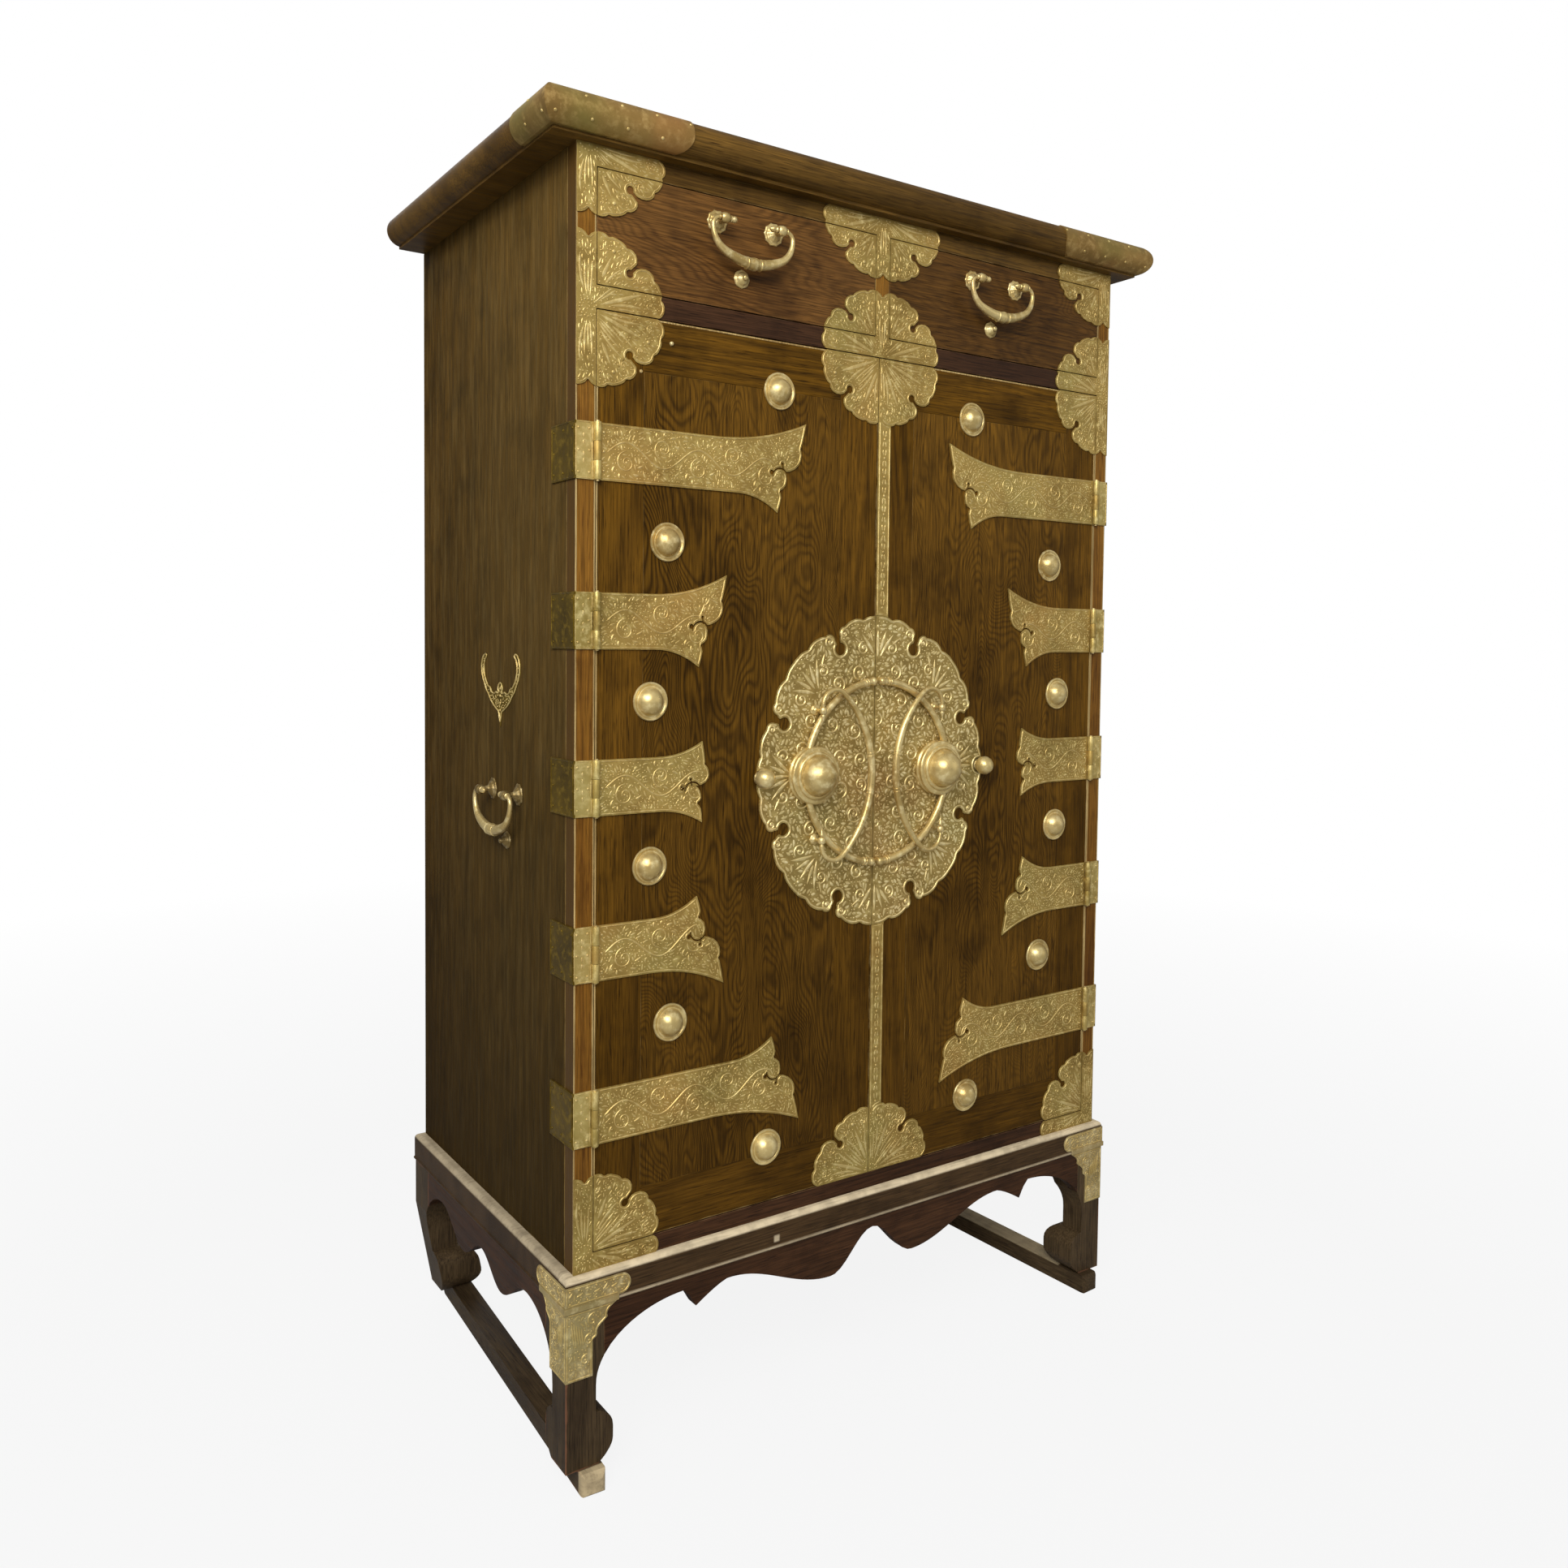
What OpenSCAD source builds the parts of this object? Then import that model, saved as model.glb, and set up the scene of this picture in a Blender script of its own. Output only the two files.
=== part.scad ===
// Two drawer, two door cabinet on a scalloped stand with runners.
// Millimetres. The front faces -Y, +Z is up, the origin is on the floor
// under the middle of the whole piece.

/* [Carcass] */
// Width of the carcass
body_w = 860; // [820:1:960]
// Depth of the carcass, front frame to back
body_d = 488; // [440:1:560]
// Height of the carcass without its top board
body_h = 1257.5; // [1220:0.5:1320]
// Thickness of the side boards
side_t = 18; // [14:1:22]
// Thickness of the back board
back_t = 12; // [8:1:18]
// Thickness of the floor, dust and shelf boards
board_t = 18; // [14:1:22]
// Width of each corner stile
stile_w = 24; // [22:1:30]
// Thickness of the front frame pieces
frame_t = 22; // [20:1:26]
// Height of the top rail
top_rail_h = 23; // [18:1:30]
// Height of the rail between drawers and doors
mid_rail_h = 25; // [18:1:30]
// Height of the rail under the doors
low_rail_h = 20.5; // [16:0.5:30]
// Width of the upright between the drawers
mullion_w = 22; // [18:1:30]
// Height of the shelf above the carcass floor line
shelf_z = 560; // [420:5:680]

/* [Top board] */
// Radius of the round nose
nose_r = 20; // [17:0.5:23]
// Height of the small band under the nose
nose_band = 3.5; // [2:0.5:6]
// Reach of the nose past the carcass at the front
top_over_f = 33; // [30:1:44]
// Reach of the nose past the carcass at the sides
top_over_s = 52; // [46:1:64]
// Thickness of the brass corner wraps
wrap_t = 1.4; // [1:0.1:2.4]
// Length of the corner wraps along the front
wrap_front = 186; // [140:1:220]
// Length of the corner wraps along the sides
wrap_side = 96; // [70:1:140]

/* [Drawers] */
// Height of the drawer fronts
drawer_h = 125.6; // [110:0.2:150]
// Gap round drawer fronts and doors
face_gap = 1.2; // [0.8:0.1:2]
// Thickness of the drawer fronts
drawer_t = 20; // [16:1:24]
// Thickness of the drawer sides and back
box_t = 10; // [8:1:12]
// Height of the drawer sides
box_h = 98; // [80:1:105]
// Thickness of the drawer bottoms
box_bottom_t = 6; // [5:0.5:8]
// Running gap under a drawer box
run_gap = 0.4; // [0.3:0.1:1]
// Height of the guide strips beside the drawers
guide_h = 34; // [20:1:60]
// Gap between a drawer box and the back board
box_back_gap = 26; // [16:1:60]
// Handle position along the left drawer, from the middle of the carcass
pull_x_left = 210; // [190:1:230]
// Handle position along the right drawer, from the middle of the carcass
pull_x_right = 196; // [190:1:230]
// Height of the handle axis over the middle of the drawer front
pull_up = 34; // [24:1:40]

/* [Doors] */
// Thickness of the doors
door_t = 22; // [18:1:24]
// Width of the door frame members
door_rail = 60; // [50:1:70]
// Place of the meeting line, from the middle of the carcass
seam_x = -4; // [-6:0.5:4]
// Width of the brass strip on the right door's edge
strip_w = 20; // [14:1:26]

/* [Strap hinges] */
// Height of a strap
strap_h = 63.5; // [54:0.5:72]
// Distance from strap to strap
strap_pitch = 187.2; // [170:0.1:196]
// Thickness of the straps and frame leaves
leaf_t = 2; // [1.4:0.1:2.4]
// Radius of the hinge barrel
barrel_r = 4.2; // [3.8:0.1:4.4]
// Radius of the hinge pin
pin_r = 2; // [1.6:0.1:2.4]
// Running clearance of a pin in its bore
pin_clear = 0.06; // [0.02:0.01:0.1]
// Distance from the face to the hinge axis
hinge_off = 4.6; // [4.5:0.1:5]
// Length of the leaf that wraps onto the side
leaf_wrap = 58; // [40:1:80]
// Half height of the flared strap ends, middle strap to outer strap
flare_h = 55; // [48:1:60]
// Distance of the middle strap's tips from the meeting line
tip_mid = 265; // [250:1:285]
// Distance of the second strap's upper tip
tip_near = 233; // [215:1:250]
// Distance of the outer strap's tip
tip_far = 119; // [105:1:135]

/* [Plates] */
// Thickness of the face plates
plate_t = 1.6; // [1.2:0.1:2]
// Half width of a scalloped plate
flower_rx = 98; // [88:1:104]
// Half height of a scalloped plate
flower_rz = 86; // [76:1:92]
// Half width of the round centre plate
medal_rx = 187; // [175:1:195]
// Half height of the round centre plate
medal_rz = 201; // [188:1:208]

/* [Door fittings] */
// Distance of the dome knobs from the middle
knob_x = 104; // [100:1:112]
// Radius of the dome knob's skirt
knob_skirt = 36; // [32:1:40]
// Radius of the dome knob's ball
knob_r = 27; // [24:1:30]
// Height of the dome knob
knob_h = 39; // [36:1:44]
// Wall of the dome knob
knob_wall = 2; // [1.5:0.1:3]
// Radius of the half rings
ring_r = 117; // [112:1:124]
// Radius of the half ring's rod
ring_rod = 4.5; // [4:0.1:5]
// Distance of the small ball studs from the middle
ball_x = 182; // [176:1:188]
// Radius of the small ball studs
ball_r = 12.5; // [10:0.5:14]
// Radius of the flat ring round a boss
boss_r = 22.5; // [19:0.1:25]
// Radius of the boss's dome
dome_r = 16.6; // [13:0.1:18]
// Height of the domed bosses
boss_h = 14.4; // [10:0.2:20]

/* [Drop handles] */
// Distance between the two posts of a drop handle
pull_pitch = 80; // [74:1:88]
// Half width of the handle
pull_half = 56; // [54:0.5:66]
// Drop of the handle under its axis
pull_drop = 46; // [43:0.5:54]
// Radius of the handle rod
pull_rod = 4.8; // [4:0.1:5.2]
// Distance of the handle axis from the face
pull_off = 18; // [16:0.5:22]
// Radius of the post's round washer
washer_r = 14; // [11:0.5:16]
// Radius of the eye of a post
eye_r = 6; // [5.4:0.1:6.6]
// Radius of the handle's pin in the eye
pull_pin = 2.6; // [2.2:0.1:3]
// Drop of the strike stud under the handle axis
strike_drop = 60; // [56:1:68]

/* [Door bails] */
// Distance of the door bail axis from the middle
bail_x = 99; // [96:1:104]
// Radius of the long curve of the door bail
bail_r = 137; // [132:1:142]
// Reach of the door bail from its axis
bail_reach = 79; // [74:1:82]
// Radius of the door bail's hooked ends
hook_r = 20; // [17:0.5:24]
// Radius of the door bail's rod
bail_rod = 4.2; // [3.6:0.1:4.4]
// Distance of the door bail axis from the door face
bail_off = 17.3; // [17.1:0.1:20]
// Radius of the door bail's pin
bail_pin = 2; // [1.8:0.1:2.2]
// Radius of the eye of a door bail post
bail_eye = 4.6; // [4.2:0.1:5]

/* [Side fittings] */
// Distance of the side handle from the front
side_pull_y = 193; // [170:1:244]
// Height of the side handle axis above the carcass floor line
side_pull_z = 529; // [480:1:620]
// Distance of the side inlay from the front
bat_y = 209; // [190:1:244]
// Height of the middle of the side inlay
bat_z = 650; // [630:1:720]
// Half width of the side inlay
bat_w = 62; // [50:1:70]

/* [Stand] */
// Height of the stand
stand_h = 249; // [230:1:280]
// Height of the stand's moulded frame
frame_h = 38; // [34:1:46]
// Width of the stand frame's members
frame_w = 60; // [50:1:80]
// Reach of the stand past the carcass at the sides
stand_over_s = 13; // [10:1:20]
// Reach of the stand past the carcass, front and back
stand_over_f = 9; // [6:1:16]
// Rounding of the stand's top edge
arris_r = 7; // [4:0.5:8]
// Radius of the bead under the frieze
bead_r = 2.5; // [1.5:0.5:3]
// Reach of the bead past the frieze
bead_out = 1.2; // [0.5:0.1:1.4]
// Thickness of the aprons
apron_t = 18; // [14:1:22]
// Width of a leg's neck across the front
neck_w = 38; // [34:1:44]
// Depth of a leg's neck
neck_d = 36; // [32:1:42]
// Width of a leg's foot across the front
foot_w = 60; // [54:1:66]
// Depth of a leg's foot
foot_d = 54; // [48:1:60]
// Width of a leg where it meets the frame
head_w = 48; // [46:1:54]
// Inward lean of the back legs at the foot
back_lean = 24; // [0:1:30]
// Height of the runners
runner_h = 25; // [18:1:32]
// Width of the runners
runner_w = 30; // [26:1:40]
// Reach of the runners in front of the stand
runner_over = 15; // [8:1:24]

/* [Hidden] */

// Front and back limits set the origin under the middle
reach_f = max(top_over_f + wrap_t, plate_t + knob_h);
reach_b = stand_over_f + bead_out;
front_y = (reach_f - body_d - reach_b) / 2;
half_w = body_w / 2;
top_t = nose_band + 2 * nose_r;

// Front openings
stile_in = half_w - stile_w;
door_z0 = low_rail_h + face_gap;
drawer_z1 = body_h - top_rail_h - face_gap;
drawer_z0 = drawer_z1 - drawer_h;
mid_z1 = drawer_z0 - face_gap;
mid_z0 = mid_z1 - mid_rail_h;
door_z1 = mid_z0 - face_gap;
door_h = door_z1 - door_z0;
door_mid = (door_z0 + door_z1) / 2;
drawer_mid = (drawer_z0 + drawer_z1) / 2;
hinge_x = stile_in - face_gap / 2;
door_out = stile_in - face_gap;
seam_gap = face_gap;
inner_x = half_w - side_t;
inner_d = body_d - back_t;

// Strap ends, middle pair to outer pair
tips_up = [tip_mid, tip_near, tip_far];
tips_low = [tip_mid, tip_near + 38, tip_far + 42];
flare_up = [flare_h - 7, flare_h + 2, flare_h + 4];
flare_low = [flare_h - 7, flare_h - 3, flare_h - 3];
run_low = 60;
run_up = [run_low, 105, 140];
strap_dz = [for (k = [-2:2]) k * strap_pitch];
// Places of the bosses on a door, from the middle and from the door's half height
boss_at = [[159, 469], [314, 279], [335, 96], [335, -94], [306, -281], [168, -460]];

// Stand levels, counted down from the carcass floor line
frame_z = -frame_h;
foot_z = runner_h - stand_h;
leg_x = half_w + stand_over_s - 1;
leg_y0 = -stand_over_f + 1;
leg_y1 = body_d + stand_over_f - 1;
leg_mid_y = (leg_y0 + leg_y1) / 2;
foot_mid_f = leg_x - foot_w / 2 - 2;
// Skirt of a boss, and the small bead where two curves of a rod meet
skirt_t = 1.6;
rim_r = 1.2;
rim_in = 1.7;
joint_bead = 0.4;
// Round ends of the handle pins, and how far they stay off their eyes
bud_r = pull_pin + 0.8;
bud_gap = 0.4;
// Clearance of parts that pass through a notch
seat_gap = 0.3;
wood = "saddlebrown";
dark = "#3a2a1e";
metal = "#b59a58";

module place() { translate([0, front_y, stand_h]) children(); }
module right(side) { mirror([side > 0 ? 1 : 0, 0, 0]) children(); }
// Box from two corners
module block(a, b) { translate(a) cube(b - a); }
// Flat outline in X and Z, raised towards the front by t from level y
module raised(t, y = 0) { translate([0, y, 0]) rotate([90, 0, 0]) linear_extrude(t) children(); }
// Meeting edge of a door, seen as the left one
function edge_x(side) = (side < 0 ? seam_x : -seam_x) - seam_gap / 2;

// Scalloped outlines
function cusp(v, p) = pow(1 - abs(v), p);
// Depths of the lobes and of the fine scallops between them, as shares of the radius
petal_cut = 0.075;
petal_notch = 0.07;
petal_ripple = 0.03;
lobe_cut = 0.1;
lobe_ripple = 0.02;
function flower_k(t) = 1 - cusp(sin(4 * t), 3) * (petal_cut + petal_notch * abs(sin(2 * t)))
  - petal_ripple * cusp(sin(12 * t), 2);
function medal_k(t) = 1 - lobe_cut * cusp(cos(4 * t), 3) - lobe_ripple * cusp(cos(12 * t), 2);
// Holes at the inner ends of the notches: place as a share of the radius, and size
flower_hole_at = 0.74;
flower_hole_r = 4.6;
flower_slot_w = 4;
flower_slot_l = 26;
medal_hole_at = 0.85;
module flower(kz = 1) {
  n = 144;
  difference() {
    polygon([for (i = [0:n - 1]) let (t = 360 * i / n, k = flower_k(t))
      [flower_rx * k * cos(t), kz * flower_rz * k * sin(t)]]);
    for (a = [45:90:315])
      keyhole(flower_hole_at * flower_rx * cos(a), flower_hole_at * kz * flower_rz * sin(a), a,
        flower_hole_r, flower_slot_w, flower_slot_l);
  }
}
// Round hole of radius r with a slot of width w and length l outwards
module keyhole(x, z, a, r, w, l) {
  translate([x, z]) {
    circle(r = r, $fn = 24);
    rotate(a) translate([0, -w / 2]) square([l, w]);
  }
}
// Round plate of eight lobes. Each lobe curls in at both ends, with a round notch between two curls
curl_r = 8.5;
curl_turn = 4.2;
curl_in = 1.6 * curl_r;
notch_r = 8;
notch_w = 7;
notch_l = 4 * notch_r;
module medal(grow = 0) {
  n = 192;
  rx = medal_rx + grow;
  rz = medal_rz + grow;
  difference() {
    union() {
      polygon([for (i = [0:n - 1]) let (t = 360 * i / n, k = medal_k(t))
        [rx * k * cos(t), rz * k * sin(t)]]);
      for (a = [22.5:45:337.5]) for (s = [-1, 1]) let (b = a + s * curl_turn)
        translate([(rx - curl_in) * cos(b), (rz - curl_in) * sin(b)]) circle(r = curl_r, $fn = 48);
    }
    for (a = [22.5:45:337.5])
      keyhole(medal_hole_at * rx * cos(a), medal_hole_at * rz * sin(a), a, notch_r, notch_w, notch_l);
  }
}

// All scalloped plates of the front as one outline, left half
module plate_outline() {
  translate([0, body_h]) flower(0.92);
  translate([0, door_z1]) flower();
  translate([0, door_z0]) flower(1.05);
  for (z = [[body_h, 0.9], [door_z1, 1], [door_z0, 1.05]])
    translate([-half_w + stile_w / 2 + 2, z[0]]) flower(z[1]);
}
module window(x0, z0, x1, z1) { translate([x0, z0]) square([x1 - x0, z1 - z0]); }

// Carcass boards. The shelf stands back from the doors, in a groove in each side board
groove = 5;
shelf_in = 18;
module side_panel(side) {
  color(wood) right(side) difference() {
    block([-half_w, frame_t, 0], [-inner_x, body_d, body_h]);
    block([-inner_x - groove, frame_t + shelf_in, shelf_z], [-inner_x + 1, inner_d + 1, shelf_z + board_t]);
  }
}
module back_panel() { color(wood) block([-inner_x, inner_d, 0], [inner_x, body_d, body_h]); }
module bottom_board() { color(wood) block([-inner_x, frame_t, 0], [inner_x, inner_d, board_t]); }
module dust_board() {
  color(wood) block([-inner_x, frame_t, mid_z1 - board_t], [inner_x, inner_d, mid_z1]);
}
module shelf() {
  color(wood) block([-inner_x - groove, frame_t + shelf_in, shelf_z],
    [inner_x + groove, inner_d, shelf_z + board_t]);
}
module front_stile(side) {
  color("sienna") right(side) block([-half_w, 0, 0], [-stile_in, frame_t, body_h]);
}
module rail(z0, z1) { color(dark) block([-stile_in, 0, z0], [stile_in, frame_t, z1]); }
module drawer_mullion() {
  color("sienna") block([-mullion_w / 2, 0, mid_z1], [mullion_w / 2, frame_t, body_h - top_rail_h]);
}
module drawer_guides() {
  color(wood) {
    block([-mullion_w / 2, frame_t, mid_z1], [mullion_w / 2, inner_d, mid_z1 + guide_h]);
    for (s = [-1, 1]) right(s) block([-inner_x, frame_t, mid_z1], [-stile_in, inner_d, mid_z1 + guide_h]);
  }
}

// Top board with a round nose on three sides
module nose_side(r, over) {
  c = half_w + over - nose_r;
  for (s = [-1, 1]) translate([s * c, nose_band + nose_r]) circle(r = r, $fn = 96);
  translate([-c, nose_band + nose_r - r]) square([2 * c, 2 * r]);
  translate([-c - 3, 0]) square([2 * c + 6, nose_band + 4]);
}
module nose_front(r, over) {
  c = over - nose_r;
  translate([c, nose_band + nose_r]) circle(r = r, $fn = 96);
  translate([-body_d, nose_band + nose_r - r]) square([c + body_d, 2 * r]);
  translate([-body_d, 0]) square([c + 3 + body_d, nose_band + 4]);
}
module nosed(r) {
  translate([0, 0, body_h]) intersection() {
    translate([0, body_d, 0]) rotate([90, 0, 0]) linear_extrude(body_d + 100) nose_side(r, top_over_s);
    rotate([90, 0, -90]) translate([0, 0, -half_w - 100]) linear_extrude(body_w + 200)
      nose_front(r, top_over_f);
  }
}
module top_board() { color(wood) nosed(nose_r); }
wrap_corner = 18;
module top_corner_brass() {
  color(metal) for (s = [-1, 1]) right(s) difference() {
    intersection() {
      nosed(nose_r + wrap_t);
      union() {
        translate([-half_w - top_over_s - 5, -top_over_f - 5, body_h])
          cube([wrap_front, top_over_f + 4, top_t + 5]);
        translate([-half_w - top_over_s - 5, -top_over_f - 5, body_h])
          cube([top_over_s + 4, wrap_side, top_t + 5]);
      }
    }
    nosed(nose_r);
    translate([-half_w - 200, -200, body_h - 1]) cube([body_w, body_d, 1 + nose_band]);
    translate([-half_w - 200, -200, body_h + top_t]) cube([body_w, body_d, 5]);
    translate([-half_w - top_over_s + wrap_front - 5 - wrap_corner, -60, body_h + nose_band - 1])
      difference() {
        cube([wrap_corner + 1, 59, wrap_corner + 1]);
        translate([0, -1, wrap_corner + 1]) rotate([-90, 0, 0]) cylinder(r = wrap_corner, h = 61, $fn = 48);
      }
  }
}

// Drawers, built as the left one
module drawer_front(side) {
  color("sienna") right(side)
    block([-door_out, 0, drawer_z0], [-mullion_w / 2 - face_gap, drawer_t, drawer_z1]);
}
module drawer_box(side) {
  x0 = -door_out;
  x1 = -mullion_w / 2 - face_gap;
  y1 = inner_d - box_back_gap;
  z0 = mid_z1 + run_gap;
  color("peru") right(side) {
    block([x0, drawer_t, z0], [x0 + box_t, y1, z0 + box_h]);
    block([x1 - box_t, drawer_t, z0], [x1, y1, z0 + box_h]);
    block([x0 + box_t, y1 - box_t, z0], [x1 - box_t, y1, z0 + box_h]);
    block([x0 + box_t, drawer_t, z0], [x1 - box_t, y1 - box_t, z0 + box_bottom_t]);
  }
}
module drawer_plates(side) {
  color(metal) right(side) raised(plate_t) intersection() {
    plate_outline();
    window(-door_out, drawer_z0, -mullion_w / 2 - face_gap, drawer_z1);
  }
}

// Drop handle: two washers with eyes, a strike stud and a bail
// Domed cap of radius r and height h, over a thin skirt when one is asked for
module boss(r, h, skirt = 0) {
  s = (r * r + h * h) / (2 * h);
  rotate([90, 0, 0]) {
    if (skirt > 0) {
      cylinder(r = r + skirt, h = skirt_t, $fn = 64);
      translate([0, 0, skirt_t]) rotate_extrude($fn = 64)
        translate([r + skirt - rim_in, 0]) circle(r = rim_r, $fn = 24);
    }
    difference() {
      translate([0, 0, h - s]) sphere(r = s, $fn = 96);
      translate([0, 0, -2 * s]) cylinder(r = 2 * s, h = 2 * s, $fn = 64);
    }
  }
}
module eye_post(r, off, eye, bore, along) {
  boss(r, r * 0.45);
  rotate([90, 0, 0]) cylinder(r = eye * 0.55, h = off - (eye + bore) / 2, $fn = 32);
  translate([0, -off, 0]) rotate(along) difference() {
    sphere(r = eye, $fn = 64);
    cylinder(r = bore, h = 4 * eye, center = true, $fn = 48);
  }
}
// The strike stud stands a little off the middle
strike_tip = 3.6;
strike_off = 5;
module pull_posts(half, strike) {
  for (s = [-1, 1]) translate([s * half, 0, 0])
    eye_post(washer_r, pull_off, eye_r, pull_pin + pin_clear, [0, 90, 0]);
  translate([strike, 0, -strike_drop]) {
    boss(washer_r * 0.8, washer_r * 0.55);
    translate([0, -washer_r * 0.55, 0]) sphere(r = strike_tip, $fn = 48);
  }
}
// Rod bent to a circle in X and Z, from angle a to b
module bent(cx, cz, r, rod, a, b) {
  translate([cx, 0, cz]) rotate([90, 0, 0]) rotate([0, 0, a])
    rotate_extrude(angle = b - a, $fn = 160) translate([r, 0]) circle(r = rod, $fn = 32);
}
elbow = 10;
shoulder = 30;
// Reach of the round bead in the middle of the grip past its rod
grip_bead = 2;
// Bead on a rod in X and Z, turned so that its seam looks away from the rod
module bead(r, a) { rotate([90, 0, 0]) rotate([0, 0, a]) sphere(r = r, $fn = 48); }
module pull_bail(half, width, drop) {
  k = (drop - elbow - shoulder) / (width - shoulder);
  turn = 90 - 2 * atan(k);
  big = shoulder + (width - shoulder) / cos(turn);
  cz = -elbow + (width - shoulder) * tan(turn);
  for (s = [-1, 1]) right(s) {
    translate([-width + elbow, 0, 0]) rotate([0, 90, 0])
      cylinder(r = pull_pin, h = width - elbow - half + eye_r + bud_gap + 1, $fn = 48);
    translate([-half + eye_r + bud_r + bud_gap, 0, 0]) rotate([0, 90, 0]) sphere(r = bud_r, $fn = 48);
    bent(-width + elbow, -elbow, elbow, pull_rod, 90, 180);
    translate([-width, 0, -elbow]) bead(pull_rod + joint_bead, 0);
    bent(-width + shoulder, -elbow, shoulder, pull_rod, 180, 180 + turn);
    translate([-big * cos(turn), 0, cz - big * sin(turn)]) bead(pull_rod + joint_bead, turn);
    bent(0, cz, big, pull_rod, 180 + turn, 270);
  }
  translate([0, 0, cz - big]) bead(pull_rod + grip_bead, 90);
}
module drawer_spot(side) {
  x = side < 0 ? -pull_x_left : pull_x_right;
  translate([x, 0, drawer_mid + pull_up]) children();
}
module drawer_posts(side) { color(metal) drawer_spot(side) pull_posts(pull_pitch / 2, -strike_off); }
module drawer_bail(side) {
  color(metal) drawer_spot(side) translate([0, -pull_off, 0])
    pull_bail(pull_pitch / 2, pull_half, pull_drop);
}

// Doors, built as the left one
// How far the panel is thinner than its frame, seen from behind
panel_in = 6;
module door_inside(side, y0, y1) {
  block([-door_out + door_rail, y0, door_z0 + door_rail],
    [edge_x(side) - door_rail, y1, door_z1 - door_rail]);
}
module door_frame(side) {
  color(wood) right(side) difference() {
    block([-door_out, 0, door_z0], [edge_x(side), door_t, door_z1]);
    door_inside(side, -1, door_t + 1);
  }
}
module door_panel(side) { color("peru") right(side) door_inside(side, 0, door_t - panel_in); }
module door_plates(side) {
  color(metal) right(side) raised(plate_t) intersection() {
    plate_outline();
    window(-door_out, door_z0, edge_x(side), door_z1);
  }
}
// Strap end from its upper tip to its lower one: share of the way down, and reach past the straight line
end_form = [[0.15, 2.7], [0.26, 3.9], [0.285, 3.2], [0.31, 6], [0.35, 8.3], [0.41, 9.5], [0.46, 8.6],
  [0.505, 5], [0.535, -1], [0.545, -6], [0.542, -9.4], [0.571, -5.6], [0.608, -3.2], [0.65, -1.8],
  [0.7, -1.1], [0.735, -3.5], [0.76, -7.5], [0.785, -4.5], [0.83, -1.5], [0.9, -0.5]];
// Ball of the scroll, the cut round its upper half with the eye it ends in, and the drop over it
scroll_at = [0.608, -12.8];
scroll_r = 9.6;
scroll_cut = 2;
scroll_eye = [0.563, -26.9];
scroll_eye_r = 2.9;
drop_at = [0.464, -15.5];
drop_r = 1.9;
drop_w = 2.2;
drop_l = 8;
drop_turn = -80;
module strap_shape(i, up) { mirror([0, up > 0 ? 0 : 1]) strap_up(i); }
module strap_up(i) {
  tx = -tips_up[i];
  bx = -tips_low[i];
  th = flare_up[i];
  bh = flare_low[i];
  n = 12;
  h = strap_h / 2;
  function end_at(p) = [tx + (bx - tx) * p[0] + p[1], th - (th + bh) * p[0]];
  difference() {
    polygon(concat(
      [[-door_out, -h], [-door_out, h]],
      [for (j = [0:n]) [tx - run_up[i] + run_up[i] * j / n, h + (th - h) * pow(j / n, 2.2)]],
      [for (p = end_form) end_at(p)],
      [for (j = [n:-1:0]) [bx - run_low + run_low * j / n, -h - (bh - h) * pow(j / n, 2.2)]]));
    translate(end_at(scroll_at)) difference() {
      circle(r = scroll_r + scroll_cut, $fn = 64);
      circle(r = scroll_r, $fn = 64);
      translate([-2 * scroll_r, -4 * scroll_r]) square(4 * scroll_r);
    }
    translate(end_at(scroll_eye)) circle(r = scroll_eye_r, $fn = 32);
    let (p = end_at(drop_at)) keyhole(p[0], p[1], drop_turn, drop_r, drop_w, drop_l);
  }
}
module barrel(z0, z1, r) { translate([-hinge_x, -hinge_off, z0]) cylinder(r = r, h = z1 - z0, $fn = 64); }
knuckle = strap_h / 3;
knuckle_gap = 0.3;
barrel_room = 0.5;
module door_straps(side) {
  color(metal) right(side) for (k = [-2:2]) translate([0, 0, door_mid + k * strap_pitch]) difference() {
    union() {
      raised(leaf_t) strap_shape(abs(k), k == 0 ? 1 : sign(k));
      barrel((knuckle_gap - knuckle) / 2, (knuckle - knuckle_gap) / 2, barrel_r);
    }
    barrel(-strap_h, strap_h, pin_r + pin_clear);
    for (s = [-1, 1])
      barrel(s * knuckle - (knuckle + knuckle_gap) / 2, s * knuckle + (knuckle + knuckle_gap) / 2,
        barrel_r + barrel_room);
  }
}
module hinge_frame_leaves() {
  color(metal) for (side = [-1, 1]) right(side) for (k = [-2:2])
    translate([0, 0, door_mid + k * strap_pitch]) difference() {
      union() {
        block([-half_w - leaf_t, -leaf_t, -strap_h / 2], [-stile_in - 0.2, 0, strap_h / 2]);
        block([-half_w - leaf_t, -0.01, -strap_h / 2], [-half_w, leaf_wrap, strap_h / 2]);
        for (s = [-1, 1]) barrel(s * knuckle - knuckle / 2, s * knuckle + knuckle / 2, barrel_r);
      }
      barrel(-strap_h, strap_h, pin_r + pin_clear);
      barrel(-(knuckle + knuckle_gap) / 2, (knuckle + knuckle_gap) / 2, barrel_r + barrel_room);
    }
}
pin_tip = 1.5;
module hinge_pins() {
  color(metal) for (side = [-1, 1]) right(side) for (k = [-2:2])
    translate([0, 0, door_mid + k * strap_pitch])
      barrel(-strap_h / 2 - pin_tip, strap_h / 2 + pin_tip, pin_r);
}
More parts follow.
